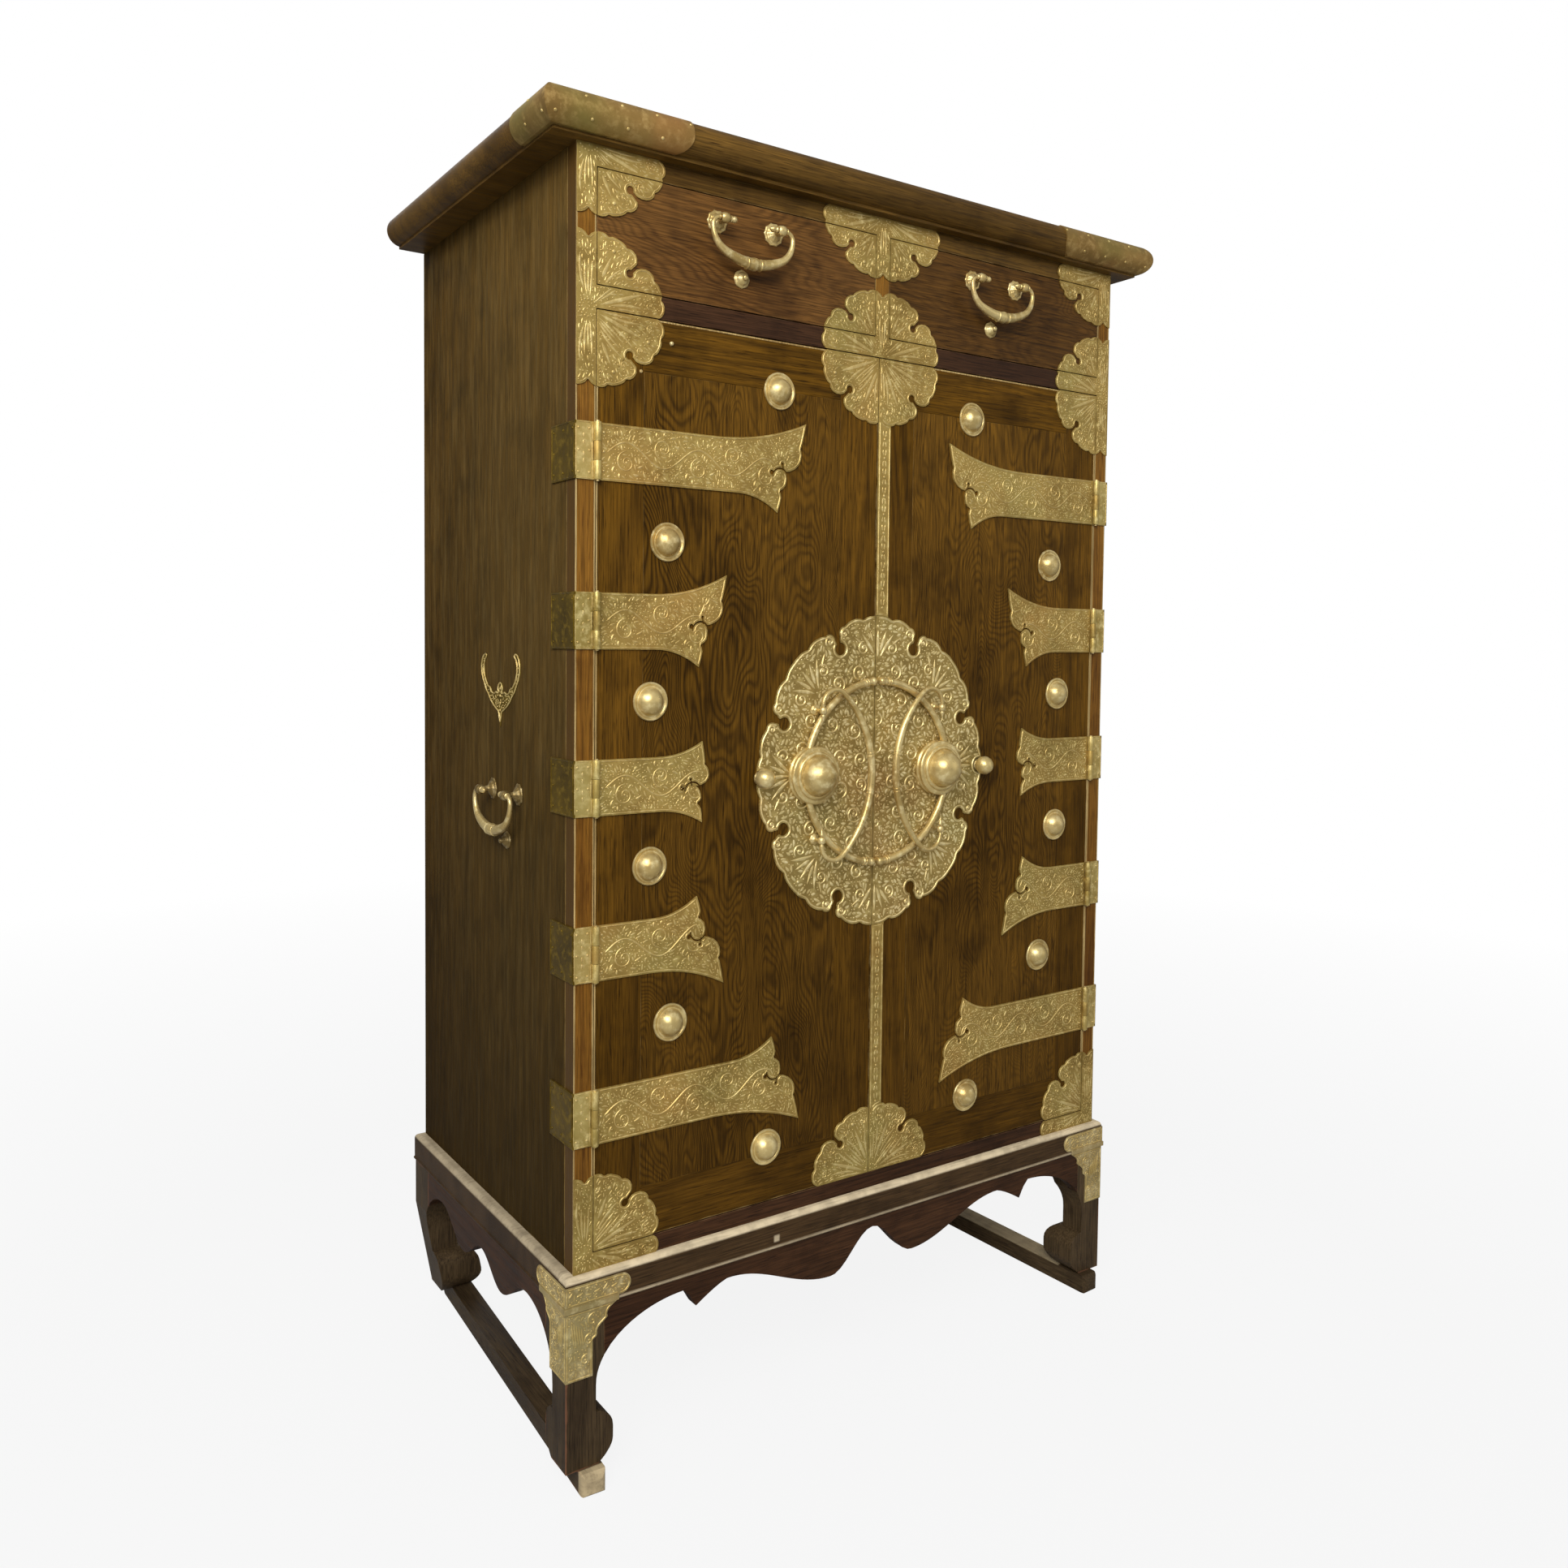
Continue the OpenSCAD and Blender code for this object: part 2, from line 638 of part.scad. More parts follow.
module door_studs(side) {
  color(metal) right(side) {
    for (p = boss_at) translate([-p[0], 0, door_mid + p[1]]) boss(dome_r, boss_h, boss_r - dome_r);
    translate([-ball_x, 0, door_mid]) {
      boss(ball_r * 0.75, plate_t + 3);
      translate([0, -plate_t - ball_r * 0.9, 0]) sphere(r = ball_r, $fn = 64);
    }
  }
}
module medallion(side) {
  color(metal) right(side) raised(plate_t) intersection() {
    difference() {
      translate([0, door_mid]) medal();
      translate([-ball_x, door_mid]) circle(r = ball_r * 0.75 + pin_clear, $fn = 64);
    }
    window(-half_w, door_z0, edge_x(side), door_z1);
  }
}
end_bead = 1.2;
ring_y = -plate_t - ring_rod - end_bead;
module half_ring(side) {
  x1 = edge_x(side) - ring_rod - 2;
  a = acos(x1 / ring_r);
  color(metal) right(side) translate([0, ring_y, door_mid]) {
    bent(0, 0, ring_r, ring_rod, a, 360 - a);
    for (s = [-1, 1]) translate([x1, 0, s * ring_r * sin(a)]) {
      bead(ring_rod + end_bead, s * a);
      rotate([-90, 0, 0]) cylinder(r = ring_rod, h = ring_rod + end_bead, $fn = 48);
    }
  }
}
module dome_knob(side) {
  color(metal) right(side) translate([-knob_x, -plate_t, door_mid]) difference() {
    rotate([90, 0, 0]) difference() {
      dome_body(0);
      dome_body(knob_wall);
    }
    translate([knob_x, ring_y + plate_t, 0]) bent(0, 0, ring_r, ring_rod + seat_gap, 150, 210);
  }
}
// Turned dome: skirt, step and ball, drawn smaller by w for the hollow
module dome_body(w) {
  step = knob_h * 0.26;
  rotate_extrude($fn = 128) difference() {
    union() {
      translate([0, w > 0 ? -1 : 0]) square([knob_skirt - w, step - w + (w > 0 ? 1 : 0)]);
      square([knob_r + 3 - w, step + 4 - w]);
      translate([0, knob_h - knob_r]) circle(r = knob_r - w, $fn = 96);
    }
    translate([-2 * knob_skirt, -knob_h]) square([2 * knob_skirt, 3 * knob_h]);
    translate([0, w > 0 ? -knob_h - 1 : -knob_h]) square([2 * knob_skirt, knob_h]);
  }
}
// Door bail, hooked into a post above and below the knob
bail_h = sqrt(pow(bail_r - hook_r, 2) - pow(hook_r + bail_r - bail_reach, 2));
bail_a = atan2(bail_h, hook_r + bail_r - bail_reach);
// The eyes sit under the top of the hooks, and the pins end in a bud past them
eye_h = bail_h - 6;
tail = 2.6;
pin_sunk = 1;
module bail_spot(side) { right(side) translate([-bail_x, 0, door_mid]) children(); }
module door_bail_posts(side) {
  color(metal) bail_spot(side) for (s = [-1, 1]) translate([0, -plate_t, s * eye_h])
    eye_post(bail_eye + 3, bail_off - plate_t, bail_eye, bail_pin + pin_clear, [0, 0, 0]);
}
module door_bail(side) {
  color(metal) bail_spot(side) translate([0, -bail_off, 0]) {
    bent(bail_reach - bail_r, 0, bail_r, bail_rod, -bail_a, bail_a);
    bent(hook_r, bail_h, hook_r, bail_rod, bail_a, 180);
    bent(hook_r, -bail_h, hook_r, bail_rod, 180, 360 - bail_a);
    for (s = [-1, 1]) {
      translate([bail_reach - bail_r + bail_r * cos(bail_a), 0, s * bail_r * sin(bail_a)])
        bead(bail_rod + joint_bead, s * bail_a);
      translate([0, 0, s > 0 ? eye_h - bail_eye - tail : -bail_h - pin_sunk])
        cylinder(r = bail_pin, h = bail_h - eye_h + bail_eye + tail + pin_sunk, $fn = 48);
      translate([0, 0, s * (eye_h - bail_eye - tail - bud_gap)]) sphere(r = bail_pin + 0.7, $fn = 48);
    }
  }
}
module door_edge_strip() {
  color(metal) raised(plate_t) difference() {
    window(seam_x + seam_gap / 2, door_z0, seam_x + seam_gap / 2 + strip_w, door_z1);
    translate([0, door_mid]) medal(seat_gap);
    plate_outline();
  }
}

// Fixed plates on stiles, rails and mullion
module frame_plates() {
  color(metal) for (s = [-1, 1]) right(s) raised(plate_t) intersection() {
    plate_outline();
    difference() {
      window(-half_w, 0, 0, body_h);
      window(-stile_in, low_rail_h, 1, mid_z0);
      window(-stile_in, mid_z1, -mullion_w / 2, body_h - top_rail_h);
      window(-flower_rx - 2, 0, 1, low_rail_h + 1);
    }
  }
}

// Side fittings, built on the left side
module on_side(side, y, z) { right(side) translate([-half_w, y, z]) rotate([0, 0, -90]) children(); }
module side_handle_posts() {
  color(metal) for (s = [-1, 1]) on_side(s, side_pull_y, side_pull_z)
    pull_posts(pull_pitch / 2, strike_off);
}
module side_bail(side) {
  color(metal) on_side(side, side_pull_y, side_pull_z) translate([0, -pull_off, 0])
    pull_bail(pull_pitch / 2, pull_half, pull_drop);
}
// Flat winged inlay: two thin raised wings, a round head and a tail, in shares of one wing's length
bat_t = 0.8;
wing_out = [[0, -0.42], [0.18, -0.35], [0.35, -0.27], [0.5, -0.17], [0.61, -0.06], [0.72, 0.02], [0.8, 0.12],
  [0.92, 0.27], [0.99, 0.42], [1, 0.56], [0.95, 0.7], [0.86, 0.79], [0.74, 0.81]];
wing_in = [[0.68, 0.77], [0.7, 0.71], [0.78, 0.66], [0.83, 0.55], [0.82, 0.42], [0.75, 0.28], [0.62, 0.15],
  [0.5, 0.12], [0.44, 0.04], [0.34, 0], [0.22, 0.05], [0.14, 0.02]];
module bat_shape() {
  w = bat_w;
  for (s = [0, 1]) mirror([s, 0])
    polygon([for (p = concat(wing_out, wing_in, [[0, 0]])) [w * p[0], w * p[1]]]);
  polygon([[-0.09 * w, -0.37 * w], [-0.02 * w, -0.6 * w], [0, -0.68 * w], [0.02 * w, -0.6 * w],
    [0.09 * w, -0.37 * w]]);
  translate([0, 0.1 * w]) circle(r = 0.13 * w, $fn = 32);
}
module side_bats() { color(metal) for (s = [-1, 1]) on_side(s, bat_y, bat_z) raised(bat_t) bat_shape(); }

// Stand frame, its profile drawn as arcs: bead, flat frieze and rounded top edge
function arc(cx, cz, r, a0, a1, n = 8) = [for (i = [0:n]) let (a = a0 + (a1 - a0) * i / n)
  [cx + r * cos(a), cz + r * sin(a)]];
module frame_side(w) {
  step = acos((bead_r - bead_out) / bead_r);
  right_edge = concat(arc(w + bead_out - bead_r, frame_z + bead_r, bead_r, -90, step),
    arc(w - arris_r, -arris_r, arris_r, 0, 90));
  polygon(concat(right_edge, [for (i = [len(right_edge) - 1:-1:0]) [-right_edge[i][0], right_edge[i][1]]]));
}
module stand_frame() {
  w = half_w + stand_over_s;
  d = body_d / 2 + stand_over_f;
  color(dark) difference() {
    intersection() {
      translate([0, body_d + 100, 0]) rotate([90, 0, 0]) linear_extrude(body_d + 200) frame_side(w);
      translate([-w - 50, body_d / 2, 0]) rotate([90, 0, 90]) linear_extrude(2 * w + 100) frame_side(d);
    }
    block([-w + frame_w, -stand_over_f + frame_w, frame_z - 1],
      [w - frame_w, body_d + stand_over_f - frame_w, 1]);
  }
}
// Lower edge of the long apron at a distance s from the middle
lobe_x = 68;
swell_x = 226;
tooth_x = 272;
arch_x0 = 285;
cleft_z = -50;
lobe_z = -98;
swell_z = -56;
tooth_z = -78;
long_rise = 76;
long_spring = -130;
side_lobe_x = 64;
side_x0 = 141;
side_cleft_z = -66;
side_lobe_z = -96;
side_rise = 74;
side_spring = -135;
calf_z = -163;
toe_h = 39;
toe_r = 26;
leg_neck = leg_x - neck_w;
function wave(u) = (1 - cos(180 * u)) / 2;
function long_z(s) = s < lobe_x ? cleft_z + (lobe_z - cleft_z) * wave(s / lobe_x)
  : s < swell_x ? lobe_z + (swell_z - lobe_z) * wave((s - lobe_x) / (swell_x - lobe_x))
  : s < tooth_x ? swell_z + (tooth_z - swell_z) * pow((s - swell_x) / (tooth_x - swell_x), 1.3)
  : s < arch_x0 ? tooth_z + (long_spring + long_rise - tooth_z) * (s - tooth_x) / (arch_x0 - tooth_x)
  : arch(s, arch_x0, leg_neck, long_rise, long_spring);
function arch(s, a, b, rise, spring) = spring + rise * sqrt(max(0, 1 - pow((s - a) / (b - a), 2)));
apron_end = leg_x - head_w;
module long_apron() {
  n = 90;
  polygon(concat([[-apron_end, frame_z]],
    [for (j = [0:n]) let (x = -apron_end + 2 * apron_end * j / n) [x, long_z(abs(x))]],
    [[apron_end, frame_z]]));
}
module long_aprons() {
  color(dark) {
    translate([0, leg_y0 + apron_t, 0]) raised(apron_t) long_apron();
    translate([0, leg_y1, 0]) raised(apron_t) long_apron();
  }
}
side_neck = leg_y1 - leg_mid_y - neck_d;
side_end = leg_y1 - leg_mid_y - foot_d;
side_crown = side_spring + side_rise;
function side_z(s) = s < side_lobe_x ? side_cleft_z + (side_lobe_z - side_cleft_z) * wave(s / side_lobe_x)
  : s < side_x0
  ? side_lobe_z + (side_crown - side_lobe_z) * wave((s - side_lobe_x) / (side_x0 - side_lobe_x))
  : arch(s, side_x0, side_neck, side_rise, side_spring);
module side_aprons() {
  n = 80;
  color(dark) for (s = [-1, 1]) right(s) translate([-leg_x + apron_t, leg_mid_y, 0]) rotate([0, 0, -90])
    raised(apron_t) polygon(concat([[-side_end, frame_z]],
      [for (j = [0:n]) let (y = -side_end + 2 * side_end * j / n) [y, side_z(abs(y))]],
      [[side_end, frame_z]]));
}
// Leg profile from its outer face inwards: head, arch, neck and curled foot.
// The arch carries on the curve of the apron beside it: span wide, rise high, springing at z = spring
function arch_join(neck, head, span, rise, spring) =
  spring + rise * sqrt(1 - pow(1 - (head - neck) / span, 2));
function arch_in(neck, span, rise, spring, z) = neck + span * (1 - sqrt(1 - pow((z - spring) / rise, 2)));
module leg_profile(neck, foot, head, span, rise, spring, lean) {
  join = arch_join(neck, head, span, rise, spring);
  flare = (foot - neck) * 0.85;
  curl_h = calf_z - foot_z - toe_h;
  inner = concat([[head, frame_z], [head, join]],
    [for (j = [1:5]) let (z = join + (spring - join) * j / 5) [arch_in(neck, span, rise, spring, z), z]],
    [for (a = [0:15:90]) [neck + (foot - neck) * sin(a), calf_z - curl_h * (1 - cos(a))]],
    [for (j = [0:6]) [foot - flare * pow(j / 6, 2), foot_z + toe_r * (1 - j / 6)]]);
  function shift(z) = lean * max(0, join - z) / (join - foot_z);
  polygon(concat([[0, frame_z], [0, join], [shift(foot_z), foot_z]],
    [for (j = [len(inner) - 1:-1:0]) [inner[j][0] + shift(inner[j][1]), inner[j][1]]]));
}
module leg(lean) {
  intersection() {
    translate([-leg_x, foot_d, 0]) raised(foot_d)
      leg_profile(neck_w, foot_w, head_w, leg_neck - arch_x0, long_rise, long_spring, lean);
    translate([-leg_x - 1, 0, 0]) rotate([90, 0, 90]) linear_extrude(foot_w + back_lean + 2)
      leg_profile(neck_d, foot_d, foot_d, side_neck - side_x0, side_rise, side_spring, 0);
  }
}
module front_legs() { color(dark) for (s = [-1, 1]) right(s) translate([0, leg_y0, 0]) leg(0); }
module back_legs() {
  color(dark) for (s = [-1, 1]) right(s) translate([0, leg_y1, 0]) mirror([0, 1, 0]) leg(back_lean);
}
// Runners, toed in towards the back so that both pairs of feet stand on them
runner_f = foot_d / 2 + runner_over;
end_r = 8;
runner_l = leg_y1 - leg_y0 + runner_over;
toe_in = atan2(back_lean, leg_y1 - leg_y0 - foot_d);
module runner_profile() {
  polygon([[3, 0], [runner_l - 3, 0], [runner_l, 3], [runner_l, runner_h], [6, runner_h], [2, runner_h - 3],
    [0, runner_h - 8], [0, 3]]);
}
module runners() {
  color(dark) for (s = [-1, 1]) right(s)
    translate([-foot_mid_f, leg_y0 + foot_d / 2, -stand_h]) rotate([0, 0, -toe_in])
      translate([-runner_w / 2, -runner_f, 0]) intersection() {
        rotate([90, 0, 90]) linear_extrude(runner_w) runner_profile();
        linear_extrude(runner_h) polygon(concat(arc(runner_w - end_r, end_r, end_r, -90, 0, 5),
          [[runner_w, runner_l], [0, runner_l]], arc(end_r, end_r, end_r, 180, 270, 5)));
      }
}
// Corner brass of the stand: band round the frieze, leaf down the leg
band_f = 82;
band_s = 76;
leaf_w = 66;
leaf_l = 80;
leaf_taper = 38;
leaf_wave = 6;
leaf_wavy = 0.64 * leaf_l;
leaf_tip_r = 0.13 * leaf_w;
leaf_tip_x = leaf_w - leaf_taper - 0.05 * leaf_w;
leaf_tip_z = leaf_l - 2 * leaf_tip_r;
leaf_gap = 0.6;
corner_t = 1.2;
band_z0 = frame_z + 2 * bead_r + 1;
band_z1 = -arris_r - 1;
band_r = (band_z1 - band_z0) / 2;
module stand_corner_brass() {
  w = half_w + stand_over_s;
  t = corner_t;
  reach = bead_out + 0.1;
  color(metal) for (s = [-1, 1]) right(s) {
    // Band round the frieze, with round ends
    difference() {
      union() {
        block([-w - t, -stand_over_f - t, band_z0],
          [-w + band_f - band_r, -stand_over_f + band_s - band_r, band_z1]);
        translate([-w + band_f - band_r, -stand_over_f + 1, band_z0 + band_r]) rotate([90, 0, 0])
          cylinder(r = band_r, h = t + 1, $fn = 64);
        translate([-w - t, -stand_over_f + band_s - band_r, band_z0 + band_r]) rotate([0, 90, 0])
          cylinder(r = band_r, h = t + 1, $fn = 64);
        // Strip over the bead, as long as the leaf is wide
        block([-w - reach - t, -stand_over_f - reach - t, frame_z + leaf_gap],
          [-w + leaf_w, -stand_over_f + leaf_w, band_z0 + 1]);
      }
      block([-w, -stand_over_f, frame_z], [-w + 2 * band_f, -stand_over_f + 2 * band_s, 0]);
      block([-w - reach, -stand_over_f - reach, frame_z],
        [-w + 2 * leaf_w, -stand_over_f + 2 * leaf_w, band_z0 - 0.5]);
    }
    // Leaf down the leg, front and side
    difference() {
      intersection() {
        block([-leg_x - t, leg_y0 - t, frame_z - leaf_l],
          [-leg_x + leaf_w, leg_y0 + leaf_w, frame_z - leaf_gap]);
        union() {
          raised(leaf_w, leaf_w / 2) leaf(-leg_x - t);
          translate([-leg_x - leaf_w / 2, leg_y0 - t, 0]) rotate([90, 0, 90])
            linear_extrude(leaf_w) leaf(0);
        }
      }
      block([-leg_x, leg_y0, foot_z], [0, leg_mid_y, 0]);
    }
  }
}
module leaf(x0) {
  n = 16;
  polygon(concat([[x0, frame_z]],
    [for (j = [0:n]) let (u = j / n)
      [x0 + leaf_w - leaf_taper * u - leaf_wave * abs(sin(540 * u)), frame_z - leaf_wavy * u]],
    arc(x0 + leaf_tip_x, frame_z - leaf_tip_z, leaf_tip_r, 40, -90, 8),
    [[x0 + 0.2 * leaf_w, frame_z - 0.95 * leaf_l], [x0, frame_z - leaf_l]]));
}

place() side_panel(-1);  // side_panel_left
place() side_panel(1);  // side_panel_right
place() back_panel();
place() bottom_board();
place() top_board();
place() front_stile(-1);  // front_stile_left
place() front_stile(1);  // front_stile_right
place() rail(body_h - top_rail_h, body_h);  // top_rail
place() rail(mid_z0, mid_z1);  // middle_rail
place() rail(0, low_rail_h);  // bottom_rail
place() drawer_mullion();
place() dust_board();
place() drawer_guides();
place() shelf();
place() door_frame(-1);  // door_frame_left
place() door_frame(1);  // door_frame_right
place() door_panel(-1);  // door_panel_left
place() door_panel(1);  // door_panel_right
place() door_straps(-1);  // door_straps_left
place() door_straps(1);  // door_straps_right
place() door_plates(-1);  // door_plates_left
place() door_plates(1);  // door_plates_right
place() door_studs(-1);  // door_studs_left
place() door_studs(1);  // door_studs_right
place() medallion(-1);  // medallion_left
place() medallion(1);  // medallion_right
place() half_ring(-1);  // half_ring_left
place() half_ring(1);  // half_ring_right
place() dome_knob(-1);  // dome_knob_left
place() dome_knob(1);  // dome_knob_right
place() door_bail_posts(-1);  // door_bail_posts_left
place() door_bail_posts(1);  // door_bail_posts_right
place() door_bail(-1);  // door_bail_left
place() door_bail(1);  // door_bail_right
place() door_edge_strip();
place() hinge_frame_leaves();
place() hinge_pins();
place() frame_plates();
place() top_corner_brass();
place() stand_corner_brass();
place() drawer_front(-1);  // drawer_front_left
place() drawer_front(1);  // drawer_front_right
place() drawer_box(-1);  // drawer_box_left
place() drawer_box(1);  // drawer_box_right
place() drawer_plates(-1);  // drawer_plates_left
place() drawer_plates(1);  // drawer_plates_right
place() drawer_posts(-1);  // drawer_posts_left
place() drawer_posts(1);  // drawer_posts_right
place() drawer_bail(-1);  // drawer_bail_left
place() drawer_bail(1);  // drawer_bail_right
place() side_handle_posts();
place() side_bail(-1);  // side_bail_left
place() side_bail(1);  // side_bail_right
place() side_bats();
place() stand_frame();
place() long_aprons();
place() side_aprons();
place() front_legs();
place() back_legs();
place() runners();
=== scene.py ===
import math
from math import cos, hypot, pi, radians, sin
import random

import bpy
import numpy as np
from mathutils import Matrix, Vector
from mathutils.bvhtree import BVHTree


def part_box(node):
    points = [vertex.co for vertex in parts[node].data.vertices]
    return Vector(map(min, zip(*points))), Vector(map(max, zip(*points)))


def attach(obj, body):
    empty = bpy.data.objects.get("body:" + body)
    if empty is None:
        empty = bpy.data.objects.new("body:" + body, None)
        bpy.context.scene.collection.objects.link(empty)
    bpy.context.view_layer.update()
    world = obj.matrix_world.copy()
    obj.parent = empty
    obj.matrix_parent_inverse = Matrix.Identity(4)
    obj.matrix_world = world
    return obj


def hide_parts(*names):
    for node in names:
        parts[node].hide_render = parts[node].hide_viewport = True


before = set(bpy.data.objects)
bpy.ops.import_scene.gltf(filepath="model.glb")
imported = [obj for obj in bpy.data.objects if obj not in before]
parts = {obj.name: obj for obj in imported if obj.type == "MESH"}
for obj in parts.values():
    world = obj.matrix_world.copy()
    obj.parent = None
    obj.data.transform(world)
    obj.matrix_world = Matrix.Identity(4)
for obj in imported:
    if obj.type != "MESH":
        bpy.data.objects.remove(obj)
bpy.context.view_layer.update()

# Places are millimetres from the carcass: x from the middle, y back from its front, z up from its floor.
# frontY and floorZ are where that front and floor lie in the frame, in metres
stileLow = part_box("front_stile_left")[0]
frontY = stileLow.y
floorZ = stileLow.z
halfWidth = -stileLow.x * 1000
doorLow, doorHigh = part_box("door_frame_left")
doorMid = ((doorLow.z + doorHigh.z) / 2 - floorZ) * 1000
doorBottom = (doorLow.z - floorZ) * 1000
doorTop = (doorHigh.z - floorZ) * 1000
seamX = doorHigh.x * 1000
plateLevel = (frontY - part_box("medallion_left")[0].y) * 1000
hands = (("left", -1), ("right", 1))


def spot(x, y, z):
    return Vector((x / 1000, frontY + y / 1000, floorZ + z / 1000))


def onFront(u, v, level):          # level is the height above the carcass front
    return spot(u, -level, v)


def onLeft(u, v, level):           # u runs back from the front, level out from the left side
    return spot(-halfWidth - level, u, v)


def onRight(u, v, level):
    return spot(halfWidth + level, u, v)


# Node helpers
def tint(red, green, blue):
    return tuple((c / 255 / 12.92) if c < 11 else ((c / 255 + 0.055) / 1.055) ** 2.4
                 for c in (red, green, blue)) + (1.0,)


def put(tree, kind, inputs=None, **settings):
    made = tree.nodes.new("ShaderNode" + kind)
    for key, value in settings.items():
        setattr(made, key, value)
    for key, value in (inputs or {}).items():
        if isinstance(value, bpy.types.NodeSocket):
            tree.links.new(value, made.inputs[key])
        else:
            made.inputs[key].default_value = value
    return made


def calc(tree, operation, a, b=0.0, c=0.0):
    return put(tree, "Math", {0: a, 1: b, 2: c}, operation=operation).outputs[0]


def times(tree, a, b):
    return calc(tree, "MULTIPLY", a, b)


def blendColour(tree, factor, a, b, blend="MIX"):
    return put(tree, "Mix", {0: factor, 6: a, 7: b}, data_type="RGBA", blend_type=blend).outputs[2]


def spread(tree, value, low, high, toLow=0.0, toHigh=1.0):
    return put(tree, "MapRange", {0: value, 1: low, 2: high, 3: toLow, 4: toHigh}).outputs[0]


def speckle(tree, place, scale, detail, roughness, stretch=None, shift=(0, 0, 0)):
    if stretch is not None:
        place = put(tree, "Mapping", {0: place, 1: shift, 3: stretch}).outputs[0]
    return put(tree, "TexNoise", {"Vector": place, "Scale": scale, "Detail": detail,
                                  "Roughness": roughness}).outputs[0]


def startFinish(name):
    material = bpy.data.materials.new(name)
    material.use_nodes = True
    tree = material.node_tree
    shader = tree.nodes["Principled BSDF"]
    return material, tree, shader


# A table row with its keys: threes of numbers become colours
def lookOf(keys, row, extras):
    look = dict(zip(keys, row), **extras)
    return {key: tint(*value) if isinstance(value, tuple) else value for key, value in look.items()}


# Depth inside the nearer of two parallel faces, below zero outside them
def inward(tree, axis, low, high):
    return calc(tree, "MINIMUM", calc(tree, "SUBTRACT", axis, low), calc(tree, "SUBTRACT", high, axis))


# Distance to the second nearest face of a board's box, which is small only along its edges
def edgeDistance(tree, axes, box):
    a, b, c = [inward(tree, axis, low, high) for axis, low, high in zip(axes, *box)]
    return calc(tree, "MAXIMUM", calc(tree, "MINIMUM", a, b),
                calc(tree, "MINIMUM", calc(tree, "MAXIMUM", a, b), c))


# 1 inside a box of the row frame, soft over the given distance
def insideBox(tree, axes, low, high, soft):
    found = None
    for axis, a, b in zip(axes, low, high):
        if a is None:
            continue
        near = inward(tree, axis, a, b)
        near = spread(tree, near, -soft, soft) if soft else calc(tree, "GREATER_THAN", near, 0.0)
        found = near if found is None else times(tree, found, near)
    return found


# Wood tones and figure. The extras: footShade is painted shade that darkens a board towards the foot,
# scuff adds rubbed streaks, sideShade is a darker tone of painted shade on faces that look sideways,
# and bare the tone of boxes worn to the wood
woodKeys = ("dark", "mid", "light", "worn", "rings", "ringScale", "stretch", "warp", "figure", "gloss", "wear")
woods = {
    "carcass": ((32, 21, 2), (72, 51, 15), (100, 73, 30), (134, 110, 64), 34, 3.4, 0.12, 0.10, 0.6, 0.60, 1.6),
    "door": ((40, 24, 2), (88, 59, 9), (124, 86, 26), (168, 142, 92), 44, 3.4, 0.10, 0.10, 0.65, 0.46, 1.5),
    "burl": ((36, 21, 2), (90, 61, 12), (124, 87, 28), (150, 120, 70), 86, 4.2, 0.34, 0.30, 0.85, 0.44, 0.4),
    "drawer": ((44, 25, 8), (98, 65, 28), (130, 92, 46), (140, 104, 64), 60, 4.6, 0.26, 0.26, 0.55, 0.44, 0.8),
    # drawerDark: the drawer wood with painted shade, darker, for the right drawer
    "drawerDark": ((40, 23, 5), (78, 51, 17), (102, 70, 30), (140, 104, 64), 60, 4.6, 0.26, 0.26, 0.55, 0.44, 0.8),
    "edge": ((72, 40, 8), (120, 80, 24), (150, 106, 42), (190, 160, 100), 18, 4.0, 0.06, 0.04, 0.5, 0.40, 0.8),
    "dark": ((31, 17, 9), (57, 35, 20), (80, 53, 32), (118, 88, 60), 20, 4.0, 0.08, 0.05, 0.5, 0.40, 0.8),
    "top": ((46, 30, 8), (86, 60, 20), (120, 90, 40), (150, 124, 78), 22, 3.4, 0.07, 0.06, 0.6, 0.38, 1.0),
    "stand": ((30, 20, 13), (64, 51, 34), (92, 74, 50), (132, 88, 64), 18, 3.6, 0.08, 0.05, 0.45, 0.42, 2.6),
    "frieze": ((34, 22, 10), (60, 43, 25), (84, 63, 38), (140, 114, 82), 16, 3.6, 0.08, 0.05, 0.45, 0.42, 1.0),
    "pale": ((120, 92, 50), (168, 140, 88), (196, 172, 118), (206, 186, 140), 10, 3.0, 0.05, 0.03, 0.4, 0.5, 0.5),
    "inner": ((96, 66, 36), (142, 106, 64), (170, 134, 88), (184, 152, 108), 18, 3.0, 0.07, 0.05, 0.5, 0.62, 0.5),
}
woodExtras = {
    "carcass": dict(footShade=0.78, scuff=0.28, shine=0.04), "door": dict(footShade=0.45, shine=0.06),
    "burl": dict(footShade=0.35, shine=0.06), "edge": dict(footShade=0.30, sideShade=(70, 50, 18)),
    "stand": dict(bare=(196, 176, 138)), "frieze": dict(bare=(214, 196, 162)),
}
# Noise scales, and the heights between which painted shade darkens boards towards the foot and scuff marks thin out
woodNoise = dict(bend=9.0, fibre=520.0, pore=760.0, cloud=4.5, blotch=16.0, rub=120.0, edge=38.0, bare=44.0,
                 streak=300.0)
woodRange = dict(foot=0.30, head=1.40, scuffHead=1.00, scuffFront=0.0, scuffBack=0.24, bareSoft=0.0012)


